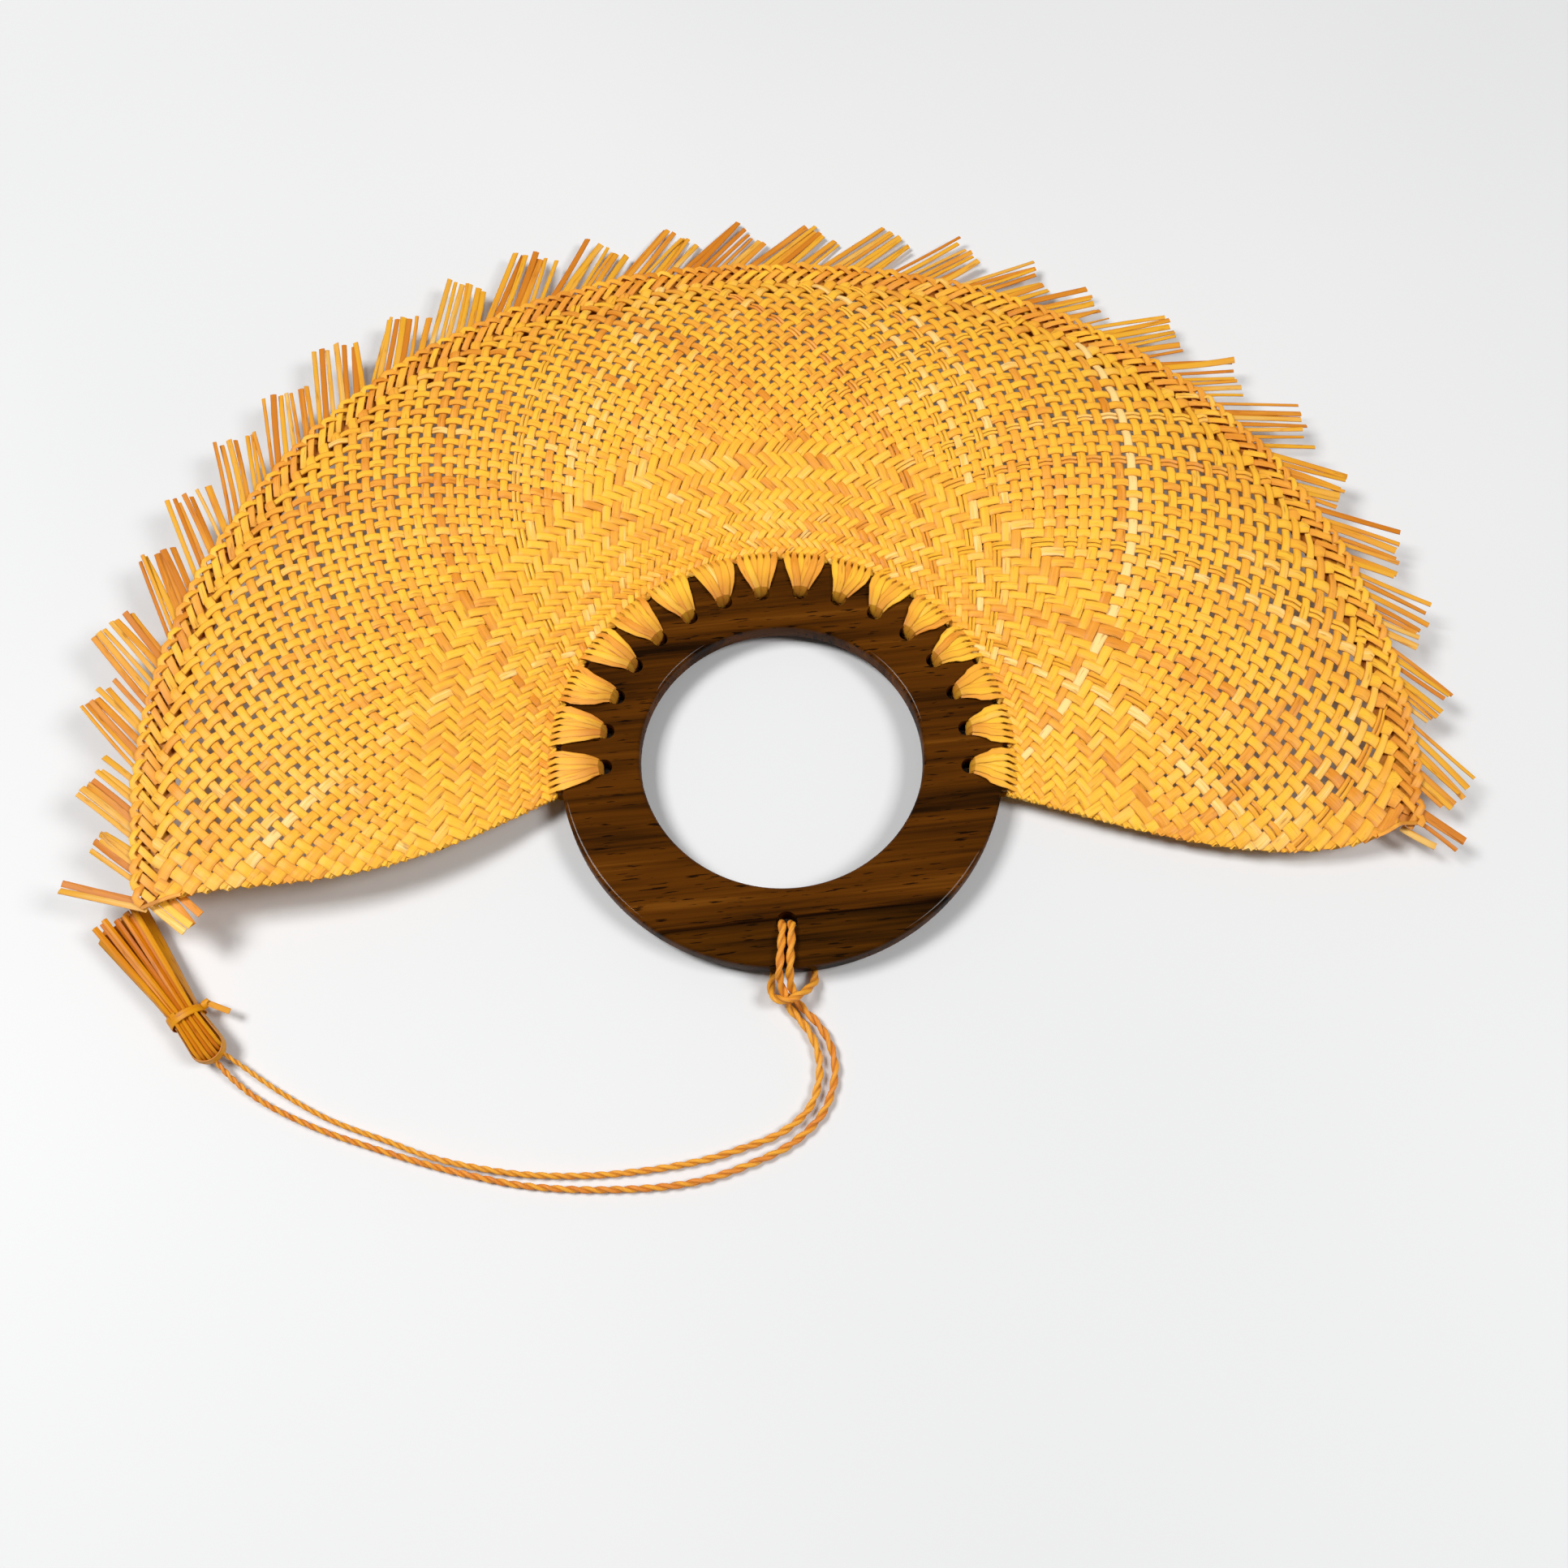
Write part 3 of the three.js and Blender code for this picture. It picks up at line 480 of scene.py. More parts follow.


# Dried palm strip: one tone to each strip that drifts along it, fine fibres, brown flecks, painted shade on
# its edges
def palm_fibre_group():
    group = bpy.data.node_groups.new("palm_fibre", "ShaderNodeTree")
    for way, sockets in PALM_SOCKETS.items():
        for name, kind in sockets.items():
            group.interface.new_socket(name, in_out=way, socket_type="NodeSocket" + kind)
    given = add_node(group, "NodeGroupInput").outputs
    result = add_node(group, "NodeGroupOutput").inputs
    apart = arithmetic(group, "MULTIPLY", given["Tone"], NOISE_APART)
    fibre = stretched_noise(group, given["Strip"], (21, 0.8, 1), 4, shift=apart)
    drift = stretched_noise(group, given["Strip"], (1.3, 0.55, 1), 2, shift=apart)
    fleck = stretched_noise(group, given["Strip"], (17, 1.9, 1), 2, shift=apart)
    own_tone = arithmetic(group, "MULTIPLY", given["Tone"], TONE_SHARE)
    tone = arithmetic(group, "ADD", arithmetic(group, "ADD", drift, TONE_SHIFT), own_tone)
    fibre_tone = arithmetic(group, "MULTIPLY", arithmetic(group, "SUBTRACT", fibre, 0.5), FIBRE_SHARE)
    colour = colour_ramp(group, arithmetic(group, "ADD", tone, fibre_tone), PALM_COLOURS)
    colour = blend_colour(group, colour_ramp(group, fleck, FLECK_STOPS), colour, FLECK_COLOUR)
    # Painted shade along each strip's edges
    painted_edge_shade = arithmetic(group, "POWER", given["Edge"], EDGE_SHADE_POWER)
    painted_edge_shade = arithmetic(group, "MULTIPLY", painted_edge_shade, EDGE_SHADE_SHARE)
    colour = blend_colour(group, painted_edge_shade, colour, EDGE_SHADE_COLOUR)
    # Stains and painted shade from the stain mark
    stained_and_shaded = arithmetic(group, "MULTIPLY", given["Stain"], arithmetic(group, "ADD", fibre, 0.5))
    colour = blend_colour(group, stained_and_shaded, colour, STAIN_AND_SHADE_COLOUR)
    join(group, blend_colour(group, 1.0, colour, given["Tint"], "MULTIPLY"), result["Color"])
    join(group, scale_and_shift(group, fibre, FIBRE_ROUGHNESS, PALM_ROUGHNESS), result["Roughness"])
    join(group, fibre, result["Height"])
    return group


PALM_FIBRE = palm_fibre_group()


def palm_material(name, tint, fibre_depth):
    material, tree, shader = new_material(name)
    strip = add_node(tree, "ShaderNodeGroup", node_tree=PALM_FIBRE)
    join(tree, add_node(tree, "ShaderNodeUVMap", uv_map="strip").outputs["UV"], strip.inputs["Strip"])
    for socket in ("Tone", "Edge", "Stain"):
        attribute = add_node(tree, "ShaderNodeAttribute", attribute_name="strip_" + socket.lower())
        join(tree, attribute.outputs["Fac"], strip.inputs[socket])
    feed(tree, strip.inputs["Tint"], tint)
    add_bump(tree, shader, strip.outputs["Height"], PALM_BUMP, fibre_depth)
    feed_all(tree, shader, {
        "Base Color": strip.outputs["Color"],
        "Roughness": strip.outputs["Roughness"],
        "Specular IOR Level": PALM_SHINE,
    })
    return material


WOOD_COLOURS = [
    (0.34, (0.011, 0.0036, 0.0005)),
    (0.43, (0.037, 0.011, 0.0010)),
    (0.53, (0.070, 0.020, 0.0012)),
    (0.63, (0.096, 0.028, 0.0017)),
    (0.75, (0.155, 0.050, 0.0038)),
]
BAND_SHARE, LINE_SHARE, GRAIN_SHIFT = 0.8, 0.5, 0.12
PORE_STOPS, PORE_COLOUR = [(0.61, (0, 0, 0)), (0.65, (0.92, 0.92, 0.92))], (0.006, 0.002, 0.0006)
HEARTWOOD_SHADES = [
    (0.20, (0.9, 0.95, 0.8)),
    (0.42, (0.10, 0.10, 0.12)),
    (0.50, (0.20, 0.18, 0.2)),
    (0.75, (1, 1, 1)),
]
HEARTWOOD_SHARPNESS = 250
WOOD_ROUGHNESS, LINE_ROUGHNESS = 0.35, 0.25
WOOD_BUMP, WOOD_BUMP_DEPTH = 0.25, 0.05
LACQUER_COAT, LACQUER_ROUGHNESS = 0.2, 0.05


# Dark wood with its grain rising to the right, short black pores, and darker heartwood past a black line
def lacquered_wood():
    material, tree, shader = new_material("lacquered striped wood")
    place = add_node(tree, "ShaderNodeTexCoord").outputs["Object"]
    rise = math.radians(GRAIN_RISE)
    band = stretched_noise(tree, place, (9, 170, 90), 3, rise, distortion=0.25)
    line = stretched_noise(tree, place, (22, 1000, 300), 4, rise, distortion=0.15)
    pore = stretched_noise(tree, place, (150, 1700, 700), 2, rise)
    band_part = arithmetic(tree, "MULTIPLY", band, BAND_SHARE)
    line_part = arithmetic(tree, "MULTIPLY", line, LINE_SHARE)
    grain = arithmetic(tree, "SUBTRACT", arithmetic(tree, "ADD", band_part, line_part), GRAIN_SHIFT)
    colour = colour_ramp(tree, grain, WOOD_COLOURS)
    colour = blend_colour(tree, colour_ramp(tree, pore, PORE_STOPS), colour, PORE_COLOUR)
    colour = blend_colour(tree, 1.0, colour, heartwood(tree, place, line, rise), "MULTIPLY")
    add_bump(tree, shader, line, WOOD_BUMP, WOOD_BUMP_DEPTH)
    feed_all(tree, shader, {
        "Base Color": colour,
        "Roughness": scale_and_shift(tree, line, LINE_ROUGHNESS, WOOD_ROUGHNESS),
        "Specular IOR Level": 0.0,
        "Coat Weight": LACQUER_COAT,
        "Coat Roughness": LACQUER_ROUGHNESS,
    })
    return material


def heartwood(tree, place, line, rise):
    across_grain = np.array([-math.sin(rise), math.cos(rise), 0])
    edge = float(np.dot(in_frame((0, HEARTWOOD_EDGE, 0)), across_grain))
    height = add_node(tree, "ShaderNodeVectorMath", operation="DOT_PRODUCT")
    height.inputs[1].default_value = across_grain
    join(tree, place, height.inputs[0])
    above = arithmetic(tree, "SUBTRACT", height.outputs["Value"], edge)
    above = arithmetic(tree, "MULTIPLY", above, HEARTWOOD_SHARPNESS)
    return colour_ramp(tree, arithmetic(tree, "ADD", above, line), HEARTWOOD_SHADES)


WOVEN_PALM = palm_material("woven palm strip", (1.0, 0.945, 0.84), 0.12)
PALE_PALM = palm_material("pale palm strip", (0.8, 0.67, 0.45), 0.12)
CORD_PALM = palm_material("twisted palm fibre", (0.88, 0.68, 0.64), 0.2)
OCHRE_PALM = palm_material("ochre palm strip", (0.72, 0.5, 0.02), 0.12)
RING_WOOD = lacquered_wood()


# Ring handle: a round board with a round hole, rounded edges, and drilled holes

def round_bar(radius, height, place, sides):
    bpy.ops.object.select_all(action="DESELECT")
    bpy.ops.mesh.primitive_cylinder_add(
        vertices=sides, radius=radius * MM, depth=height * MM, location=in_frame(place))
    return bpy.context.active_object


def cut_away(piece, cutter):
    bpy.ops.object.select_all(action="DESELECT")
    bpy.context.view_layer.objects.active = piece
    cut = piece.modifiers.new("cut", "BOOLEAN")
    cut.operation = "DIFFERENCE"
    cut.object = cutter
    bpy.ops.object.modifier_apply(modifier=cut.name)
    bpy.data.objects.remove(cutter)


def lace_angle(i):
    return RIGHT_ROOT + (i + 0.5) * (LEFT_ROOT - RIGHT_ROOT) / LACE_COUNT


def lace_hole_radius(i):
    return LACE_CIRCLE_RADIUS + LACE_CIRCLE_SHIFT * math.cos(math.radians(lace_angle(i)))


def ring_handle():
    middle = (0, 0, RING_MIDDLE)
    ring = round_bar(RING_RADIUS, RING_THICKNESS, middle, RING_SIDES)
    ring.name = "wooden_ring"
    cut_away(ring, round_bar(RING_HOLE_RADIUS, DRILL_LENGTH, middle, RING_HOLE_SIDES))
    rounding = ring.modifiers.new("rounded edges", "BEVEL")
    rounding.width = RING_EDGE_ROUND * MM
    rounding.segments = RING_ROUND_STEPS
    rounding.limit_method = "ANGLE"
    bpy.ops.object.modifier_apply(modifier=rounding.name)
    for i in range(LACE_COUNT):
        place = polar(lace_hole_radius(i), lace_angle(i), RING_MIDDLE)
        cut_away(ring, round_bar(LACE_HOLE_RADIUS, DRILL_LENGTH, place, LACE_HOLE_SIDES))
    place = polar(*CORD_HOLE_PLACE, RING_MIDDLE)
    cut_away(ring, round_bar(CORD_HOLE_RADIUS, DRILL_LENGTH, place, CORD_HOLE_SIDES))
    ring.select_set(True)
    bpy.ops.object.transform_apply(location=True, rotation=True, scale=True)
    finish_piece(ring, RING_WOOD, "fan", ["ring_handle"])


# Weave: two sets of strips that lean opposite ways and turn back where they meet the leaf's side edges
# Spacing of the rows, and the share of it left open, at some radii

WEAVE_SPACING = [
    (56.1, 1.0), (66, 1.33), (78, 1.62), (88, 2.1), (104, 2.2), (116, 2.25), (128, 2.4), (152, 2.6),
]
WEAVE_GAPS = [(56.1, 0.0), (86, 0.03), (98, 0.22), (126, 0.34), (152, 0.35)]

# Middle and half width of each part of a strand, in the strand's half widths
WHOLE_STRAND = [(0.0, 1.0)]
SPLIT_STRAND = [(-0.53, 0.45), (0.53, 0.45)]
ROW_RADII = np.linspace(LEAF_ROOT, WEAVE_OUTER + 2, 400)


def row_numbers():
    spacing = np.interp(ROW_RADII, *zip(*WEAVE_SPACING))
    steps = np.diff(ROW_RADII) * (1 / spacing[1:] + 1 / spacing[:-1]) / 2
    rows = np.concatenate([[0.0], np.cumsum(steps)])
    return rows * WEAVE_ROWS / np.interp(WEAVE_OUTER, ROW_RADII, rows)


ROW_NUMBERS = row_numbers()
LAST_ROW = ROW_NUMBERS[-1]


def weave_point(place, row):
    radius = np.interp(row, ROW_NUMBERS, ROW_RADII)
    u = place / WEAVE_STRANDS
    t = u + STRANDS_WIDE_AT_SIDES * np.sin(2 * np.pi * u) + STRANDS_WIDE_AT_RIGHT * np.sin(np.pi * u)
    return leaf_point((radius - LEAF_ROOT) / (WEAVE_OUTER - LEAF_ROOT), t)


# How far the surface goes for one strand across and for one row out
def weave_slopes(place, row):
    step = 0.1
    inner = np.clip(place, step, WEAVE_STRANDS - step)
    low = np.clip(row, step, LAST_ROW - step)
    by_place = (weave_point(inner + step, row) - weave_point(inner - step, row)) / (2 * step)
    by_row = (weave_point(place, low + step) - weave_point(place, low - step)) / (2 * step)
    return by_place, by_row


# How many strands and rows a step of one millimetre to a strip's side crosses
def sideways_steps(side, by_place, by_row):
    place_square = np.sum(by_place * by_place, axis=1)
    row_square = np.sum(by_row * by_row, axis=1)
    shared = np.sum(by_place * by_row, axis=1)
    side_place = np.sum(side * by_place, axis=1)
    side_row = np.sum(side * by_row, axis=1)
    area_square = place_square * row_square - shared * shared
    strands = (side_place * row_square - side_row * shared) / area_square
    rows = (side_row * place_square - side_place * shared) / area_square
    return strands, rows


# A place past either edge turns back into the leaf, with its other face up
def turned_back(place):
    back = np.where(place < 0, -place, np.where(place > WEAVE_STRANDS, 2 * WEAVE_STRANDS - place, place))
    turned = np.where((place < 0) | (place > WEAVE_STRANDS), -1.0, 1.0)
    return back, turned


# Over two and under two near the ring, over one and under one further out
def row_level(row):
    twill = np.where(np.mod(row, 4) < 2, 1.0, -1.0)
    plain = np.where(np.mod(row, 2) < 1, 1.0, -1.0)
    return np.where(row < TWILL_ROWS, twill, plain)


def weave_level(row):
    nearest = np.round(row)
    following = nearest + np.sign(row - nearest)
    lean = (1 - np.cos(np.pi * np.abs(row - nearest))) / 2
    return mix(row_level(nearest), row_level(following), lean)


def strand_tone(batch_tone):
    if chance.uniform() < PALE_STRAND_SHARE:
        return PALE_STRAND_TONE
    return mix(chance.uniform(), batch_tone, BATCH_SHARE)


# The strands draw together in pairs where they come to the rim
def weave_strip(sheaf, start, lean, pair, batch_tone):
    whole = np.arange(0, math.floor(LAST_ROW) + 1)
    rows = np.unique(np.clip((whole[:, None] + CROSSING_STEPS).ravel(), 0, LAST_ROW))
    sway = STRAND_SWAY * np.sin(rows * chance.uniform(*SWAY_RATES) + chance.uniform(*SWAY_STARTS))
    pairing = WEAVE_PAIRING * pair * np.clip((rows - WEAVE_ROWS + PAIRING_START) / PAIRING_SPAN, 0, 1)
    places = start + lean * rows / 2 + sway + pairing
    middle, turned = turned_back(places)
    by_place, by_row = weave_slopes(middle, rows)
    along = by_row + (lean * turned / 2)[:, None] * by_place
    normal = np.cross(by_place, by_row)
    room = np.linalg.norm(normal, axis=1) / np.linalg.norm(along, axis=1)
    normal = -unit(normal)
    normal *= np.sign(normal[:, 2:3])
    from_edge = np.clip(np.minimum(middle, WEAVE_STRANDS - middle) / DENSE_EDGE_STRANDS, 0, 1)
    radius = np.interp(rows, ROW_NUMBERS, ROW_RADII)
    gap = np.interp(radius, *zip(*WEAVE_GAPS))
    gap *= from_edge * mix(1, OPENER_AT_LEFT, middle / WEAVE_STRANDS)
    half = (1 - gap) * room / 2 * chance.uniform(*STRAND_WIDTHS)
    side = unit(np.cross(along, normal)) * turned[:, None]
    step_place, step_row = sideways_steps(side, by_place, by_row)
    step_place *= turned
    lengths = path_lengths(weave_point(middle, rows))
    # Painted shade darkens the strips towards the rim
    stain_and_shade = np.interp(radius, WEAVE_SHADE_RADII, [0.0, WEAVE_OUTER_SHADE])
    tone = strand_tone(batch_tone)
    parts = SPLIT_STRAND if chance.uniform() < SPLIT_STRAND_SHARE else WHOLE_STRAND
    for centre, share in parts:
        across = half[:, None] * (centre + share * STRIP_SECTION[:, 0])
        point_places, point_turned = turned_back(places[:, None] + step_place[:, None] * across)
        point_rows = np.clip(rows[:, None] + step_row[:, None] * across, 0, LAST_ROW)
        level = WEAVE_LIFT * lean * weave_level(rows)[:, None] * point_turned
        rise = point_turned * WEAVE_STRIP_THICKNESS * STRIP_SECTION[:, 1]
        rings = weave_point(point_places, point_rows) + normal[:, None] * (level + rise)[..., None]
        sheaf.add_skin(rings, across, lengths, STRIP_EDGE_SHADE, tone, stain_and_shade)


# The tones of strands that lie side by side drift together
def woven_leaf():
    for name, lean in (("weave_strips_leaning_left", 1), ("weave_strips_leaning_right", -1)):
        sheaf = StripSheaf()
        draws = chance.uniform(-1, 1, WEAVE_STRANDS + BATCH_STRANDS - 1)
        drift = np.convolve(draws, np.full(BATCH_STRANDS, 1 / BATCH_STRANDS), "valid")
        for i in range(WEAVE_STRANDS):
            pair = lean * (1 - 2 * (i % 2))
            weave_strip(sheaf, i + 0.5, lean, pair, 0.5 + BATCH_DRIFT * drift[i])
        sheaf.make_piece(name, WOVEN_PALM, "fan", ["woven_leaf"])


# Rim: each border strip comes out of the weave, turns at the rim, and goes back over one strip and under
# the next. Its steps: how far clockwise it is, its radius, its lift, and the painted shade where it tucks
# under

RIM_STEPS = [
    (0.0, 150.2, -0.2, 0.5),
    (1.9, 151.6, 0.5, 0.15),
    (4.2, 153.3, 0.85, 0.0),
    (5.4, 154.3, 0.6, 0.25),
    (6.4, 155.2, 0.8, 0.1),
    (7.4, 155.5, 1.1, 0.0),
    (8.8, 154.7, 1.2, 0.0),
    (11.0, 153.5, 0.2, 0.5),
    (12.6, 152.7, -0.4, 0.7),
]


# A flat band under the plait, darkened with painted shade where it shows between the strips
def rim_core(sheaf, right, left):
    degrees = np.linspace(right + RIM_CORE_INSET, left - RIM_CORE_INSET, RIM_CORE_STEPS)
    path = polar(RIM_CORE_RADIUS, degrees, rim_height(degrees) - RIM_CORE_DROP)
    sheaf.add_strip(path, UP, RIM_CORE_WIDTH, RIM_CORE_TONE, RIM_CORE_SHADE)


def rim_bindings(sheaf):
    s = np.linspace(*BINDING_REACH, BINDING_STEPS)
    for t in (BINDING_INSET, 1 - BINDING_INSET):
        path = leaf_point(s, np.full(BINDING_STEPS, t)) + BINDING_LIFT * UP
        sheaf.add_strip(path, UP, BINDING_WIDTH, BINDING_TONE, BINDING_OUTER_DARKENING * (s > 1))


def rim_braid():
    sheaf = StripSheaf()
    right, left = edge_angles(1.0)
    rim_core(sheaf, right, left)
    clockwise, radius, lift, tuck_shade = np.array(RIM_STEPS).T
    for i in range(RIM_STRIPS):
        foot = mix(right, left, (i + RIM_FIRST_STRIP) / (RIM_STRIPS + RIM_END_ROOM))
        degrees = foot + RIM_STRIP_TURN - np.degrees(clockwise / radius)
        path = polar(radius + chance.normal(0, RIM_STRIP_SCATTER), degrees, rim_height(degrees) + lift)
        outward = (radius[:, None] - RIM_MIDDLE_RADIUS) / RIM_HALF_WIDTH
        tilt = UP + RIM_TILT * polar(1.0, degrees, 0.0) * outward
        kept = (degrees > right) & (degrees < left)
        width = chance.uniform(*RIM_STRIP_WIDTHS)
        if np.count_nonzero(kept) > 2:
            # Painted shade where the strip tucks under, over its own random stain
            stain_and_shade = chance.uniform(*RIM_STRIP_STAINS) + RIM_TUCK_SHADE * tuck_shade[kept]
            sheaf.add_strip(path[kept], tilt[kept], width, chance.uniform(*RIM_STRIP_TONES), stain_and_shade)
    rim_bindings(sheaf)
    sheaf.make_piece("rim_strips", WOVEN_PALM, "fan", ["rim_braid"])


# Fringe: strip ends that leave the rim in tufts, cut square across each tuft

def rim_axes(degrees):
    step = 0.5
    before = polar(FRINGE_RADIUS, degrees + step, rim_height(degrees + step))
    after = polar(FRINGE_RADIUS, degrees - step, rim_height(degrees - step))
    clockwise = unit(after - before)
    droop = math.radians(FRINGE_DROOP)
    out = polar(math.cos(droop), degrees, -math.sin(droop))
    up = unit(np.cross(clockwise, out))
    return clockwise, np.cross(up, clockwise), up


def strip_end(sheaf, foot, direction, up, length, width, tones=STRIP_END_TONES):
    sideways = np.cross(direction, up)
    steps = np.linspace(0, 1, STRIP_END_STEPS)[:, None]
    bend = chance.normal(0, STRIP_END_BEND) * sideways + chance.normal(STRIP_END_RISE, STRIP_END_BEND) * up
    path = foot + direction * length * steps + bend * steps ** 2
    path[:, 2] = np.maximum(path[:, 2], STRIP_ON_TABLE)
    face = up + chance.normal(0, STRIP_END_TWIST) * sideways * steps
    sheaf.add_strip(path, face, width, chance.uniform(*tones), thickness=STRIP_END_THICKNESS)


def tuft_angle(i):
    u = i / (TUFT_COUNT - 1)
    return mix(FIRST_TUFT, LAST_TUFT, u) + TUFT_CROWDING * 4 * u * (1 - u)


def tuft(sheaf, degrees, strips, pitch, length, lean):
    clockwise, out, up = rim_axes(degrees)
    slant = math.radians(lean)
    direction = math.sin(slant) * clockwise + math.cos(slant) * out
    rim = polar(FRINGE_RADIUS, degrees, rim_height(degrees))
    for k in range(strips):
        foot = (k - (strips - 1) / 2 + chance.uniform(-FOOT_SCATTER, FOOT_SCATTER)) * pitch
        reach = length - k * pitch * math.sin(slant) + chance.normal(0, CUT_SCATTER)
        start = rim + foot * clockwise - FRINGE_TUCK * direction - FRINGE_SINK * up
        width = chance.uniform(*FRINGE_WIDTHS)
        strip_end(sheaf, start, direction, up, reach + FRINGE_TUCK, width)


def fringe():
    sheaf = StripSheaf()
    last = TUFT_COUNT - 1
    for i in range(TUFT_COUNT):
        room = math.radians(tuft_angle(i + 0.5) - tuft_angle(i - 0.5)) * FRINGE_RADIUS
        length = mix(FRINGE_LENGTH_RIGHT, FRINGE_LENGTH_LEFT, i / last)
        shortening = np.interp(i, [last - 2, last], [1, TUFT_END_SHORTENING])
        length *= shortening + chance.normal(0, TUFT_LENGTH_SCATTER)
        lean = FRINGE_LEAN + chance.normal(0, TUFT_LEAN_SCATTER)
        tuft(sheaf, tuft_angle(i), TUFT_STRIPS, (room - TUFT_GAP) / TUFT_STRIPS, length, lean)
    for end_tuft in END_TUFTS:
        tuft(sheaf, *end_tuft)
    nodes = ["fringe_%02d" % (i + 1) for i in range(TUFT_COUNT + 1)]
    sheaf.make_piece("fringe_strips", PALE_PALM, "fan", nodes)


def left_corner_strips():
    sheaf = StripSheaf()
    corner = leaf_point(1.0, 1.0) - LEFT_CORNER_DROP * UP
    direction = polar(1.0, LEFT_CORNER_HEADING, 0.0)
    sideways = np.cross(direction, UP)
    for k in range(LEFT_CORNER_STRIPS):
        shift = LEFT_CORNER_PITCH * (k - (LEFT_CORNER_STRIPS - 1) / 2) - LEFT_CORNER_SHIFT
        foot = corner + shift * sideways - LEFT_CORNER_TUCK * direction
        strip_end(sheaf, foot, direction, UP, LEFT_CORNER_LENGTH, CORNER_STRIP_WIDTH)
    sheaf.make_piece("left_corner_strips", WOVEN_PALM, "fan", ["corner_tuft_left"])


def right_corner_strip():
    sheaf = StripSheaf()
    tip = polar(RIGHT_TAIL_RADIUS, RIGHT_TIP, rim_height(RIGHT_TIP) - RIGHT_TAIL_DROP)
    direction = polar(1.0, RIGHT_TAIL_HEADING, 0.0)
    foot = tip - RIGHT_TAIL_TUCK * direction
    strip_end(sheaf, foot, direction, UP, RIGHT_TAIL_LENGTH, CORNER_STRIP_WIDTH, PALE_STRIP_TONES)
    sheaf.make_piece("right_corner_strip", PALE_PALM, "fan", ["corner_tail_right"])


# Lacing: flat strips side by side that go over the ring's edge, draw together, and pass through a hole
# Steps of one strip: its radius, its height from the ring's middle, how far the strips spread, and its width

LACE_STEPS = [
    (59.6, 0.0, 1.0, 1.3),
    (57.8, 1.1, 1.0, 1.2),
    (55.8, 2.9, 1.0, 1.3),
    (54.2, 3.35, 0.93, 1.9),
    (52.0, 3.5, 0.78, 2.0),
    (49.8, 3.6, 0.6, 1.9),
    (47.8, 3.6, 0.43, 1.7),
    (46.4, 3.2, 0.32, 1.5),
    (45.7, 2.0, 0.28, 1.4),
    (45.4, 0.0, 0.26, 1.3),
]


def lace(sheaf, i):
    radius, rise, spread, width = np.array(LACE_STEPS).T
    hole_shift = lace_hole_radius(i) - LACE_CIRCLE_RADIUS
    radius = np.where(radius < LACE_HOLE_REACH, radius + hole_shift, radius)
    slope = np.gradient(rise) / np.gradient(radius)
    inward = np.clip((LACE_NECK_START - radius) / LACE_NECK_LENGTH, 0, 1)
    bow = chance.normal(0, LACE_SKEW) * inward * (1 - inward) * 4
    # Painted shade darkens the strips as they go down into the hole
    stain_and_shade = LACE_SHADE * np.clip(inward * LACE_SHADE_GROWTH - LACE_SHADE_START, 0, 1)
    for k in range(LACE_STRIPS):
        across = (k - (LACE_STRIPS - 1) / 2) * LACE_PITCH * spread + bow
        degrees = lace_angle(i) + np.degrees(across / radius)
        pile = (LACE_PILE_FOOT + LACE_PILE_STEP * ((2 * k) % 3)) * inward
        tone = chance.uniform(*LACE_TONES)
        for face in (1, -1):
            path = polar(radius, degrees, RING_MIDDLE + face * (rise + pile))
            up = face * (UP - face * polar(1.0, degrees, 0.0) * slope[:, None])
            sheaf.add_strip(path, up, width, tone, stain_and_shade)


def lacing():
    for i in range(LACE_COUNT):
        sheaf = StripSheaf()
        lace(sheaf, i)
        sheaf.make_piece("lacing_%02d" % (i + 1), WOVEN_PALM, "fan", ["lace_%02d" % (i + 1)])


# Wrist cord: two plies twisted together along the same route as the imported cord

def on_table(points):
    return [(x, y, ON_TABLE) for x, y in points]


HITCH_ROUTE = [
    (1.9, -62.3, ON_RUNS), (1.0, -60.7, ON_RUNS + 0.6), (-0.3, -57.9, 6.0), (-0.6, -55.5, OVER_RING - 0.7),
    (-0.4, -53.4, OVER_RING), (-0.1, -49.5, OVER_RING), (0.1, -46.8, OVER_RING),
    (0.1, -45.0, OVER_RING - 0.3), (0.1, -44.0, RING_TOP - 0.2), (0.1, -43.8, RING_MIDDLE),
    (0.1, -44.0, RING_BOTTOM + 0.2), (0.0, -45.3, UNDER_RING + 0.2), (-0.3, -47.2, UNDER_RING),
    (-1.2, -51.0, UNDER_RING), (-2.0, -54.8, UNDER_RING), (-2.5, -57.9, 2.2), (-1.7, -60.9, 4.7),
    (0.6, -62.0, OVER_STRANDS), (3.2, -61.2, OVER_STRANDS), (5.7, -59.2, 4.3), (7.6, -56.6, 2.0),
    (7.9, -54.0, UNDER_RING), (6.6, -50.5, UNDER_RING), (4.3, -47.4, UNDER_RING),
    (2.6, -45.4, UNDER_RING + 0.2), (2.3, -44.0, RING_BOTTOM + 0.2), (2.3, -43.8, RING_MIDDLE),
    (2.3, -44.0, RING_TOP - 0.2), (2.3, -45.0, OVER_RING - 0.3), (2.3, -46.8, OVER_RING),
    (2.2, -49.5, OVER_RING), (2.0, -53.4, OVER_RING), (1.9, -55.5, OVER_RING - 0.7), (2.0, -57.9, 6.0),
    (2.8, -59.6, ON_RUNS + 0.6), (3.7, -61.1, ON_RUNS),
]

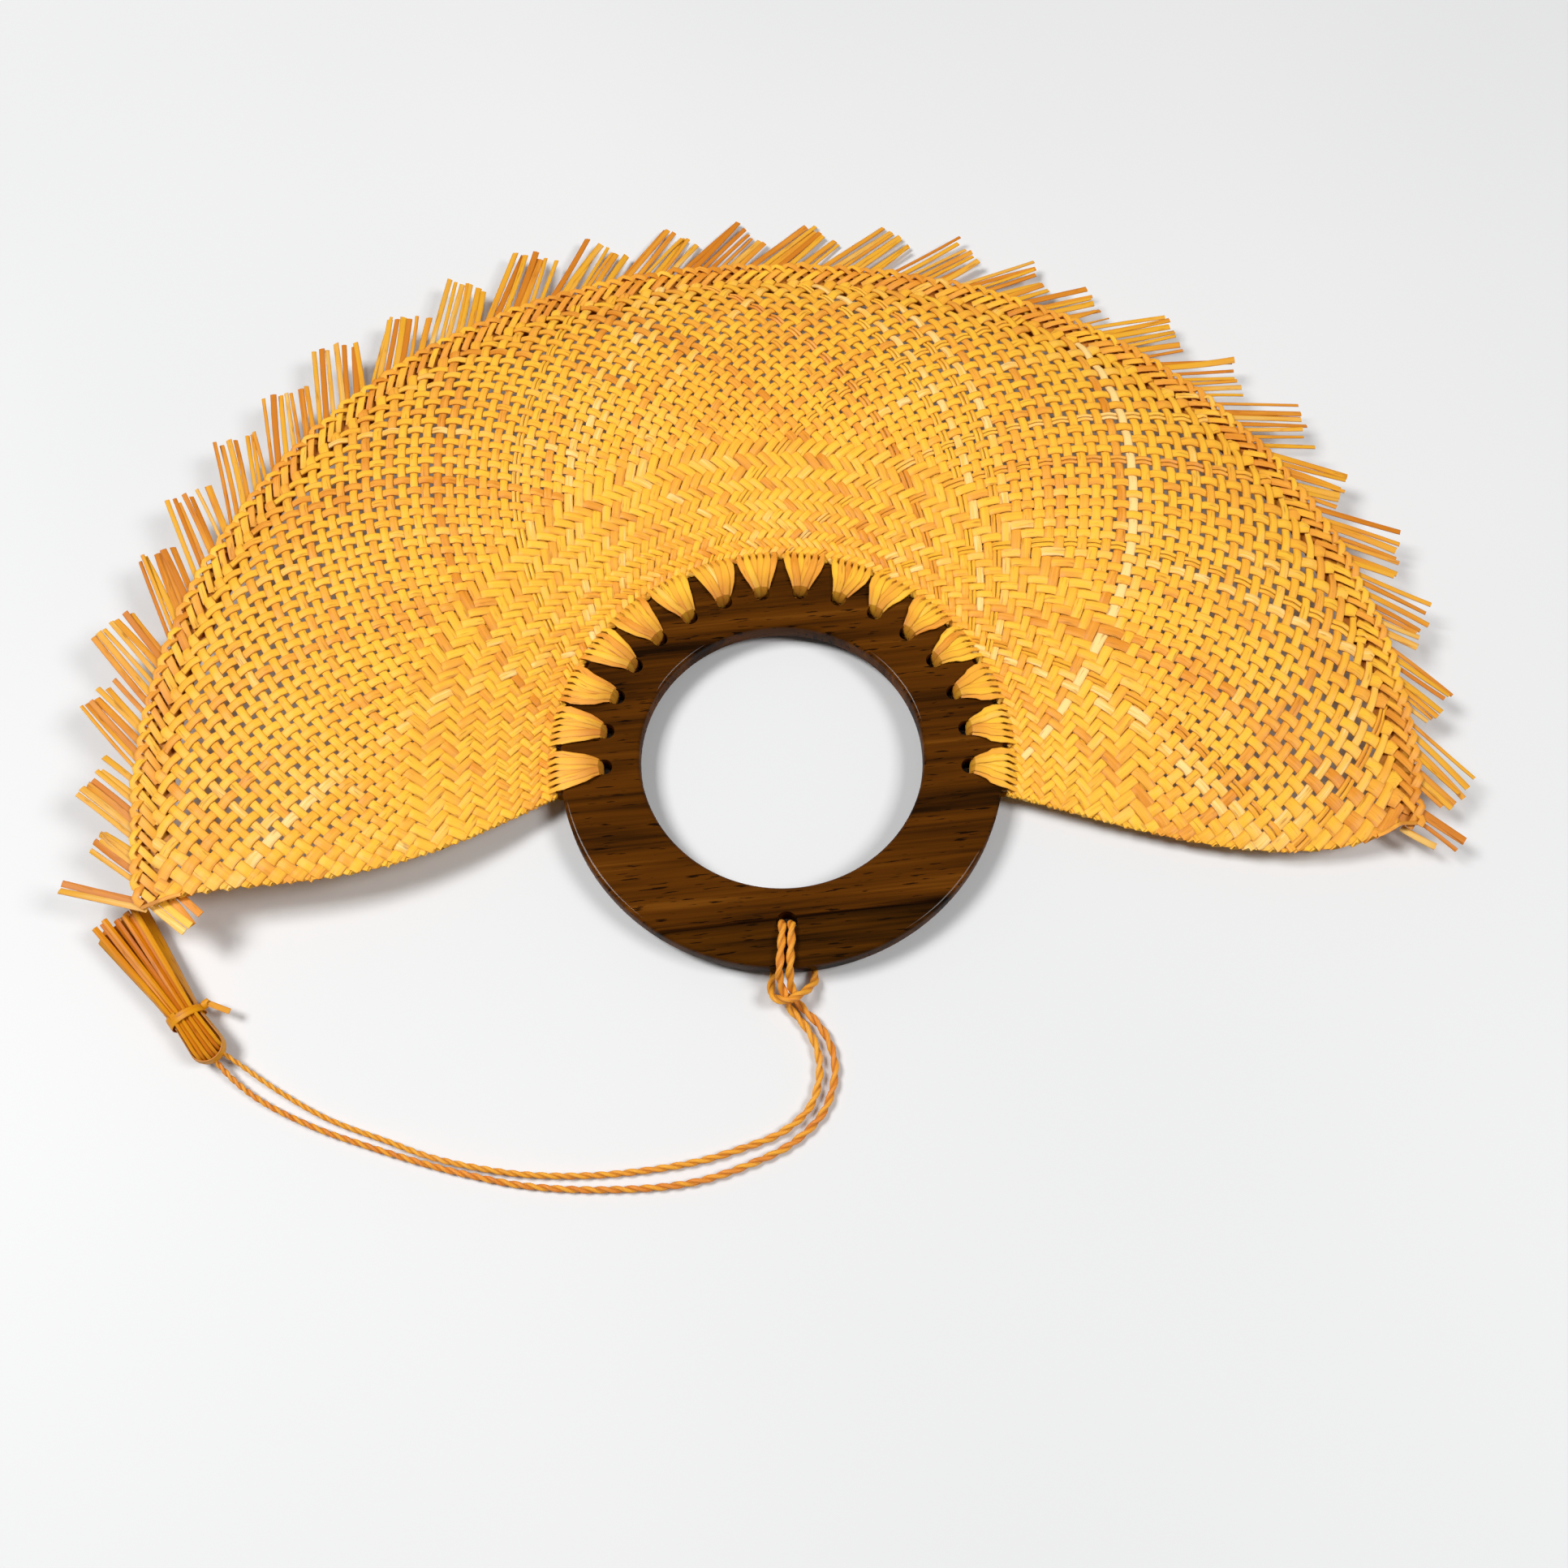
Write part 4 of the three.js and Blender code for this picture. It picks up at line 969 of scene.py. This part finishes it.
# Both runs start from the same place under the bight of the hitch
UNDER_BIGHT = (1.2, -59.8)
INNER_RUN_ROUTE = on_table([
    UNDER_BIGHT, (1.8, -62.4), (3.9, -64.9), (6.3, -68.1), (8.2, -72.2), (8.8, -76.6), (8.3, -81.2),
    (6.2, -86.2), (0.3, -91.4), (-9, -95.2), (-20.7, -98.5), (-40.7, -101.1),
]) + [
    (-58, -101.1, ON_TABLE + 0.6), (-70, -99.5, ON_TABLE + 1.5), (-80, -97.2, ON_TABLE + 1.5),
    (-89.1, -93.9, ON_TABLE + 0.5), (-104.3, -88.4, ON_TABLE), (-117, -81.6, ON_TABLE),
    (-124.5, -76.8, ON_TABLE + 0.6), (-129.36, -73.7, IN_FOLD),
]
OUTER_RUN_ROUTE = on_table([
    UNDER_BIGHT, (3.6, -61.2), (5.7, -63.4), (8.7, -66.6), (11.2, -71), (12.3, -75.5), (12.1, -80),
    (9.4, -87.2), (2.6, -93.9), (-6.8, -98.6), (-20.6, -102.9), (-40.5, -104.4), (-58, -103.5),
    (-70, -101.3), (-80, -98.9), (-94.9, -94.5), (-107, -90.4), (-119.5, -84.6),
]) + [
    (-126.2, -80, ON_TABLE + 0.6), (-130.9, -75.56, IN_FOLD),
]


# A smooth line through all points of a route, sampled evenly
def smooth_route(route):
    points = np.array(route, float)
    ends = (2 * points[:1] - points[1:2], 2 * points[-1:] - points[-2:-1])
    knots = np.concatenate([ends[0], points, ends[1]])
    spans = []
    for a, b, c, d in zip(knots, knots[1:], knots[2:], knots[3:]):
        t1 = math.sqrt(np.linalg.norm(b - a))
        t2 = t1 + math.sqrt(np.linalg.norm(c - b))
        t3 = t2 + math.sqrt(np.linalg.norm(d - c))
        t = np.linspace(t1, t2, ROUTE_SAMPLES, endpoint=False)[:, None]
        ab = mix(a, b, t / t1)
        bc = mix(b, c, (t - t1) / (t2 - t1))
        cd = mix(c, d, (t - t2) / (t3 - t2))
        abc = mix(ab, bc, t / t2)
        bcd = mix(bc, cd, (t - t1) / (t3 - t1))
        spans.append(mix(abc, bcd, (t - t1) / (t2 - t1)))
    line = np.concatenate(spans + [points[-1:]])
    lengths = path_lengths(line)
    even = np.linspace(0, lengths[-1], round(lengths[-1] / CORD_STEP) + 1)
    return np.stack([np.interp(even, lengths, line[:, k]) for k in range(3)], axis=1)


# Two directions across a line that don't turn about it
def line_axes(line):
    along = unit(np.gradient(line, axis=0))
    first = np.cross(along[0], UP)
    if np.linalg.norm(first) < 0.1:
        first = np.cross(along[0], (1.0, 0.0, 0.0))
    axes = []
    for direction in along:
        first = unit(first - direction * np.dot(first, direction))
        axes.append(first)
    first = np.array(axes)
    return first, np.cross(along, first)


def twisted_cord(name, route, body, node, fullness, lay_lengths):
    line = smooth_route(route)
    lengths = path_lengths(line)
    first, second = line_axes(line)
    round_turn = -np.arange(PLY_SIDES) / PLY_SIDES * 2 * np.pi
    # Painted shade in the crease between the plies
    crease_shade = np.clip(PLY_CREASE_SHADE - PLY_CREASE_SHADE_DEPTH * np.cos(round_turn), 0, 1)
    full = np.linspace(*fullness, len(line))[:, None]
    ply_radius = PLY_RADIUS * full
    ply_offset = PLY_OFFSET * full
    pitch = np.linspace(*lay_lengths, len(line))
    turns = np.cumsum(np.gradient(lengths) / pitch)
    sheaf = StripSheaf()
    for ply in (0, 1):
        twist = turns * 2 * np.pi + ply * np.pi
        middle = line + ply_offset * (np.cos(twist)[:, None] * first + np.sin(twist)[:, None] * second)
        turn = twist[:, None] + round_turn
        spoke = np.cos(turn)[..., None] * first[:, None] + np.sin(turn)[..., None] * second[:, None]
        rings = middle[:, None] + ply_radius[..., None] * spoke
        across = ply_radius * np.abs(round_turn)
        sheaf.add_skin(rings, across, lengths, crease_shade, chance.uniform(*PLY_TONES), 0.0)
    piece = sheaf.make_piece(name, CORD_PALM, body, [node])


# Tassel, drawn along +X from the middle of its fold: folded strips, one round them on edge, and a tie

def tassel_turned(vectors):
    turn = math.radians(TASSEL_TURN)
    along = (math.cos(turn), math.sin(turn), 0)
    across = (-math.sin(turn), math.cos(turn), 0)
    return np.asarray(vectors, float) @ np.array([along, across, UP])


def tassel_place(points):
    return tassel_turned(points) + TASSEL_HEAD


def add_tassel_strip(sheaf, path, out, width, tones=TASSEL_TONES):
    tone = chance.uniform(*tones)
    sheaf.add_strip(tassel_place(path), tassel_turned(out), width, tone, thickness=TASSEL_STRIP_THICKNESS)


# How far the tails have spread at x, from 0 at the tie to 1
def tail_fan(x):
    return np.clip((x - TIE_PLACE) / TAIL_FAN, 0, 1)


def folded_tail(side, neck, reach, height, width):
    x = np.array([*TAIL_STEPS, TAIL_END + chance.normal(0, TAIL_END_SCATTER)])
    wide = width * np.interp(x, [TIE_PLACE, NECK_END], [NECK_SHARE, 1])
    fan = tail_fan(x)
    drawn_in = neck * np.interp(x, [0, TIE_PLACE], [1.0, NECK_DRAW])
    y = mix(drawn_in, reach + chance.normal(0, TAIL_SIDE_SCATTER), fan)
    lift = chance.uniform(-TAIL_HEIGHT_SCATTER, TAIL_HEIGHT_SCATTER) * fan
    z = side * height * (1 + TAIL_FAN_RISE * fan) + lift
    tilt = chance.normal(0, TAIL_TILT_SCATTER) * np.minimum(1, 2 * fan)
    return columns(x, y, z), columns(0.0, np.sin(tilt), side * np.cos(tilt)), wide


def over_fold(from_tail, bend, to_tail):
    return np.concatenate([from_tail[::-1], bend, to_tail])


# One strip folded in half over the cord: its two tails lie flat above and below and fan out past the tie
def folded_strip(sheaf, neck, reach, height, width):
    fold = np.radians(np.linspace(90, 270, FOLD_STEPS))
    fold_x = height * np.cos(fold) - FOLD_BACK + FOLD_BOW * neck ** 2
    bend = columns(fold_x, neck, height * np.sin(fold))
    bend_out = columns(np.cos(fold), 0.0, np.sin(fold))
    bend_wide = np.full(FOLD_STEPS, NECK_SHARE * width)
    upper_path, upper_out, upper_wide = folded_tail(1, neck, reach, height, width)
    lower_path, lower_out, lower_wide = folded_tail(-1, neck, reach, height, width)
    path = over_fold(upper_path, bend, lower_path)
    out = over_fold(upper_out, bend_out, lower_out)
    add_tassel_strip(sheaf, path, out, over_fold(upper_wide, bend_wide, lower_wide))


# The outermost strip goes round the fold on edge, and its tails lie along both sides
def wrapped_strip(sheaf):
    radius = WRAPPED_FOLD_RADIUS
    fold = np.radians(np.linspace(90, 270, WRAPPED_FOLD_STEPS))
    bend = columns(radius * np.cos(fold), radius * np.sin(fold), 0.0)
    bend_out = columns(np.cos(fold), np.sin(fold), 0.0)
    x = np.array(WRAPPED_TAIL_STEPS)
    fan = tail_fan(x)
    y = mix(radius * np.interp(x, [0, TIE_PLACE], [1.0, WRAPPED_NECK_DRAW]), WRAPPED_TAIL_REACH, fan)
    tails = [columns(x, side * y, WRAPPED_TAIL_RISE * fan) for side in (1, -1)]
    outs = [columns(0.0, side * np.cos(fan), np.sin(fan)) for side in (1, -1)]
    path = over_fold(tails[0], bend, tails[1])
    out = over_fold(outs[0], bend_out, outs[1])
    add_tassel_strip(sheaf, path, out, WRAPPED_STRIP_WIDTH, WRAPPED_STRIP_TONES)


def tassel_strips():
    sheaf = StripSheaf()
    for to_side, neck_pitch, tail_pitch, height, stagger, width in TASSEL_LAYERS:
        for k in range(-to_side, to_side + 1):
            folded_strip(sheaf, neck_pitch * k, tail_pitch * k, height + stagger * (k % 2), width)
    wrapped_strip(sheaf)
    return sheaf.make_piece("tassel_folded_strips", OCHRE_PALM, "tassel", ["tassel_strips"])


# One strip wound round the tassel, knotted at its side, with a short tail
def tassel_tie():
    sheaf = StripSheaf()
    turn = np.linspace(*TIE_WINDING, TIE_STEPS)
    x = TIE_PLACE + TIE_SPREAD * (turn / turn[-1] - TIE_SPREAD_MIDDLE) + TIE_SLANT * np.cos(turn)
    wrap = columns(x, TIE_HALF_WIDTH * np.cos(turn), TIE_HALF_HEIGHT * np.sin(turn))
    out = columns(0.0, np.cos(turn) / TIE_HALF_WIDTH, np.sin(turn) / TIE_HALF_HEIGHT)
    sheaf.add_strip(tassel_place(wrap), tassel_turned(out), TIE_STRIP_WIDTH, TIE_TONE)
    turn = np.linspace(*KNOT_WINDING, KNOT_STEPS)
    x = TIE_PLACE + KNOT_RADIUS * np.cos(turn)
    y = KNOT_SIDE + KNOT_SIDE_REACH * np.sin(turn * 0.5)
    knot = columns(x, y, KNOT_RADIUS * np.sin(turn))
    out = columns(np.cos(turn), 0.0, np.sin(turn))
    sheaf.add_strip(tassel_place(knot), tassel_turned(out), TIE_STRIP_WIDTH, KNOT_TONE)
    tail = TIE_TAIL_START + np.linspace(0, TIE_TAIL_LENGTH, STRIP_END_STEPS)[:, None] * TIE_TAIL_DIRECTION
    sheaf.add_strip(tassel_place(tail), TIE_TAIL_FACE, TIE_TAIL_WIDTH, TIE_TAIL_TONE)
    return sheaf.make_piece("tassel_tie_strip", OCHRE_PALM, "tassel", ["tassel_tie"])


# Floor, light and camera

# Past the photograph's view the table takes the backdrop's colour, as the camera sees it and not as light
def fade_table(tree, place, shader):
    away = add_node(tree, "ShaderNodeVectorMath", operation="LENGTH")
    join(tree, place, away.inputs[0])
    fade = add_node(tree, "ShaderNodeMapRange", interpolation_type="SMOOTHSTEP")
    join(tree, away.outputs["Value"], fade.inputs["Value"])
    feed_all(tree, fade, {"From Min": TABLE_FADE_START, "From Max": TABLE_FADE_END})
    seen = add_node(tree, "ShaderNodeLightPath").outputs["Is Camera Ray"]
    backdrop = add_node(tree, "ShaderNodeEmission")
    feed(tree, backdrop.inputs["Color"], BACKDROP_COLOUR)
    blend = add_node(tree, "ShaderNodeMixShader")
    join(tree, arithmetic(tree, "MULTIPLY", fade.outputs["Result"], seen), blend.inputs["Fac"])
    join(tree, shader.outputs["BSDF"], blend.inputs[1])
    join(tree, backdrop.outputs["Emission"], blend.inputs[2])
    join(tree, blend.outputs["Shader"], tree.nodes["Material Output"].inputs["Surface"])


def floor():
    bpy.ops.mesh.primitive_plane_add(size=TABLE_SIZE, location=(0, 0, -TABLE_SINK))
    table = bpy.context.active_object
    table.name = "pale_table"
    material, tree, shader = new_material("pale table")
    place = add_node(tree, "ShaderNodeTexCoord").outputs["Object"]
    cloud = stretched_noise(tree, place, (3, 3, 3), 2)
    join(tree, colour_ramp(tree, cloud, TABLE_COLOURS), shader.inputs["Base Color"])
    shader.inputs["Roughness"].default_value = TABLE_ROUGHNESS
    fade_table(tree, place, shader)
    table.data.materials.append(material)


def softbox(name, place, power):
    lamp = bpy.data.lights.new(name, "AREA")
    lamp.size = SOFTBOX_SIZE
    lamp.energy = power
    holder = bpy.data.objects.new(name, lamp)
    holder.location = place
    holder.rotation_euler = holder.location.to_track_quat("Z", "Y").to_euler()
    bpy.context.collection.objects.link(holder)


def light():
    world = bpy.data.worlds.new("pale studio")
    world.use_nodes = True
    tree = world.node_tree
    direction = add_node(tree, "ShaderNodeTexCoord").outputs["Generated"]
    apart = add_node(tree, "ShaderNodeSeparateXYZ")
    join(tree, direction, apart.inputs["Vector"])
    sky = colour_ramp(tree, apart.outputs["Z"], SKY_SHADES)
    towards_back = scale_and_shift(tree, apart.outputs["Y"], 0.5, 0.5)
    dim_front = colour_ramp(tree, towards_back, FRONT_SHADES)
    sky = blend_colour(tree, 1.0, sky, dim_front, "MULTIPLY")
    seen = add_node(tree, "ShaderNodeLightPath").outputs["Is Camera Ray"]
    backdrop = tree.nodes["Background"]
    join(tree, blend_colour(tree, seen, sky, BACKDROP_COLOUR), backdrop.inputs["Color"])
    bpy.context.scene.world = world
    for lamp in SOFTBOXES:
        softbox(*lamp)


def camera():
    lens = bpy.data.cameras.new("photograph camera")
    lens.sensor_width = CAMERA_FILM
    lens.lens = CAMERA_LENS
    lens.clip_start = CAMERA_NEAR
    holder = bpy.data.objects.new("photograph camera", lens)
    elevation = math.radians(CAMERA_ELEVATION)
    away = np.array([0, -math.cos(elevation), math.sin(elevation)])
    holder.location = in_frame(CAMERA_TARGET + CAMERA_DISTANCE * away)
    holder.rotation_euler = (math.pi / 2 - elevation, 0, 0)
    bpy.context.collection.objects.link(holder)
    bpy.context.scene.camera = holder


camera()
light()
floor()
ring_handle()
woven_leaf()
rim_braid()
fringe()
left_corner_strips()
right_corner_strip()
lacing()
tassel_pieces = [tassel_strips(), tassel_tie()]
twisted_cord("cord_hitch_plies", HITCH_ROUTE, "fan", "cord_hitch",
             HITCH_FULLNESS, HITCH_LAY)
twisted_cord("cord_inner_plies", INNER_RUN_ROUTE, "wrist_cord", "cord_run_inner",
             INNER_FULLNESS, RUN_LAY)
twisted_cord("cord_outer_plies", OUTER_RUN_ROUTE, "wrist_cord", "cord_run_outer",
             OUTER_FULLNESS, RUN_LAY)

bpy.context.scene.view_settings.view_transform = "Standard"
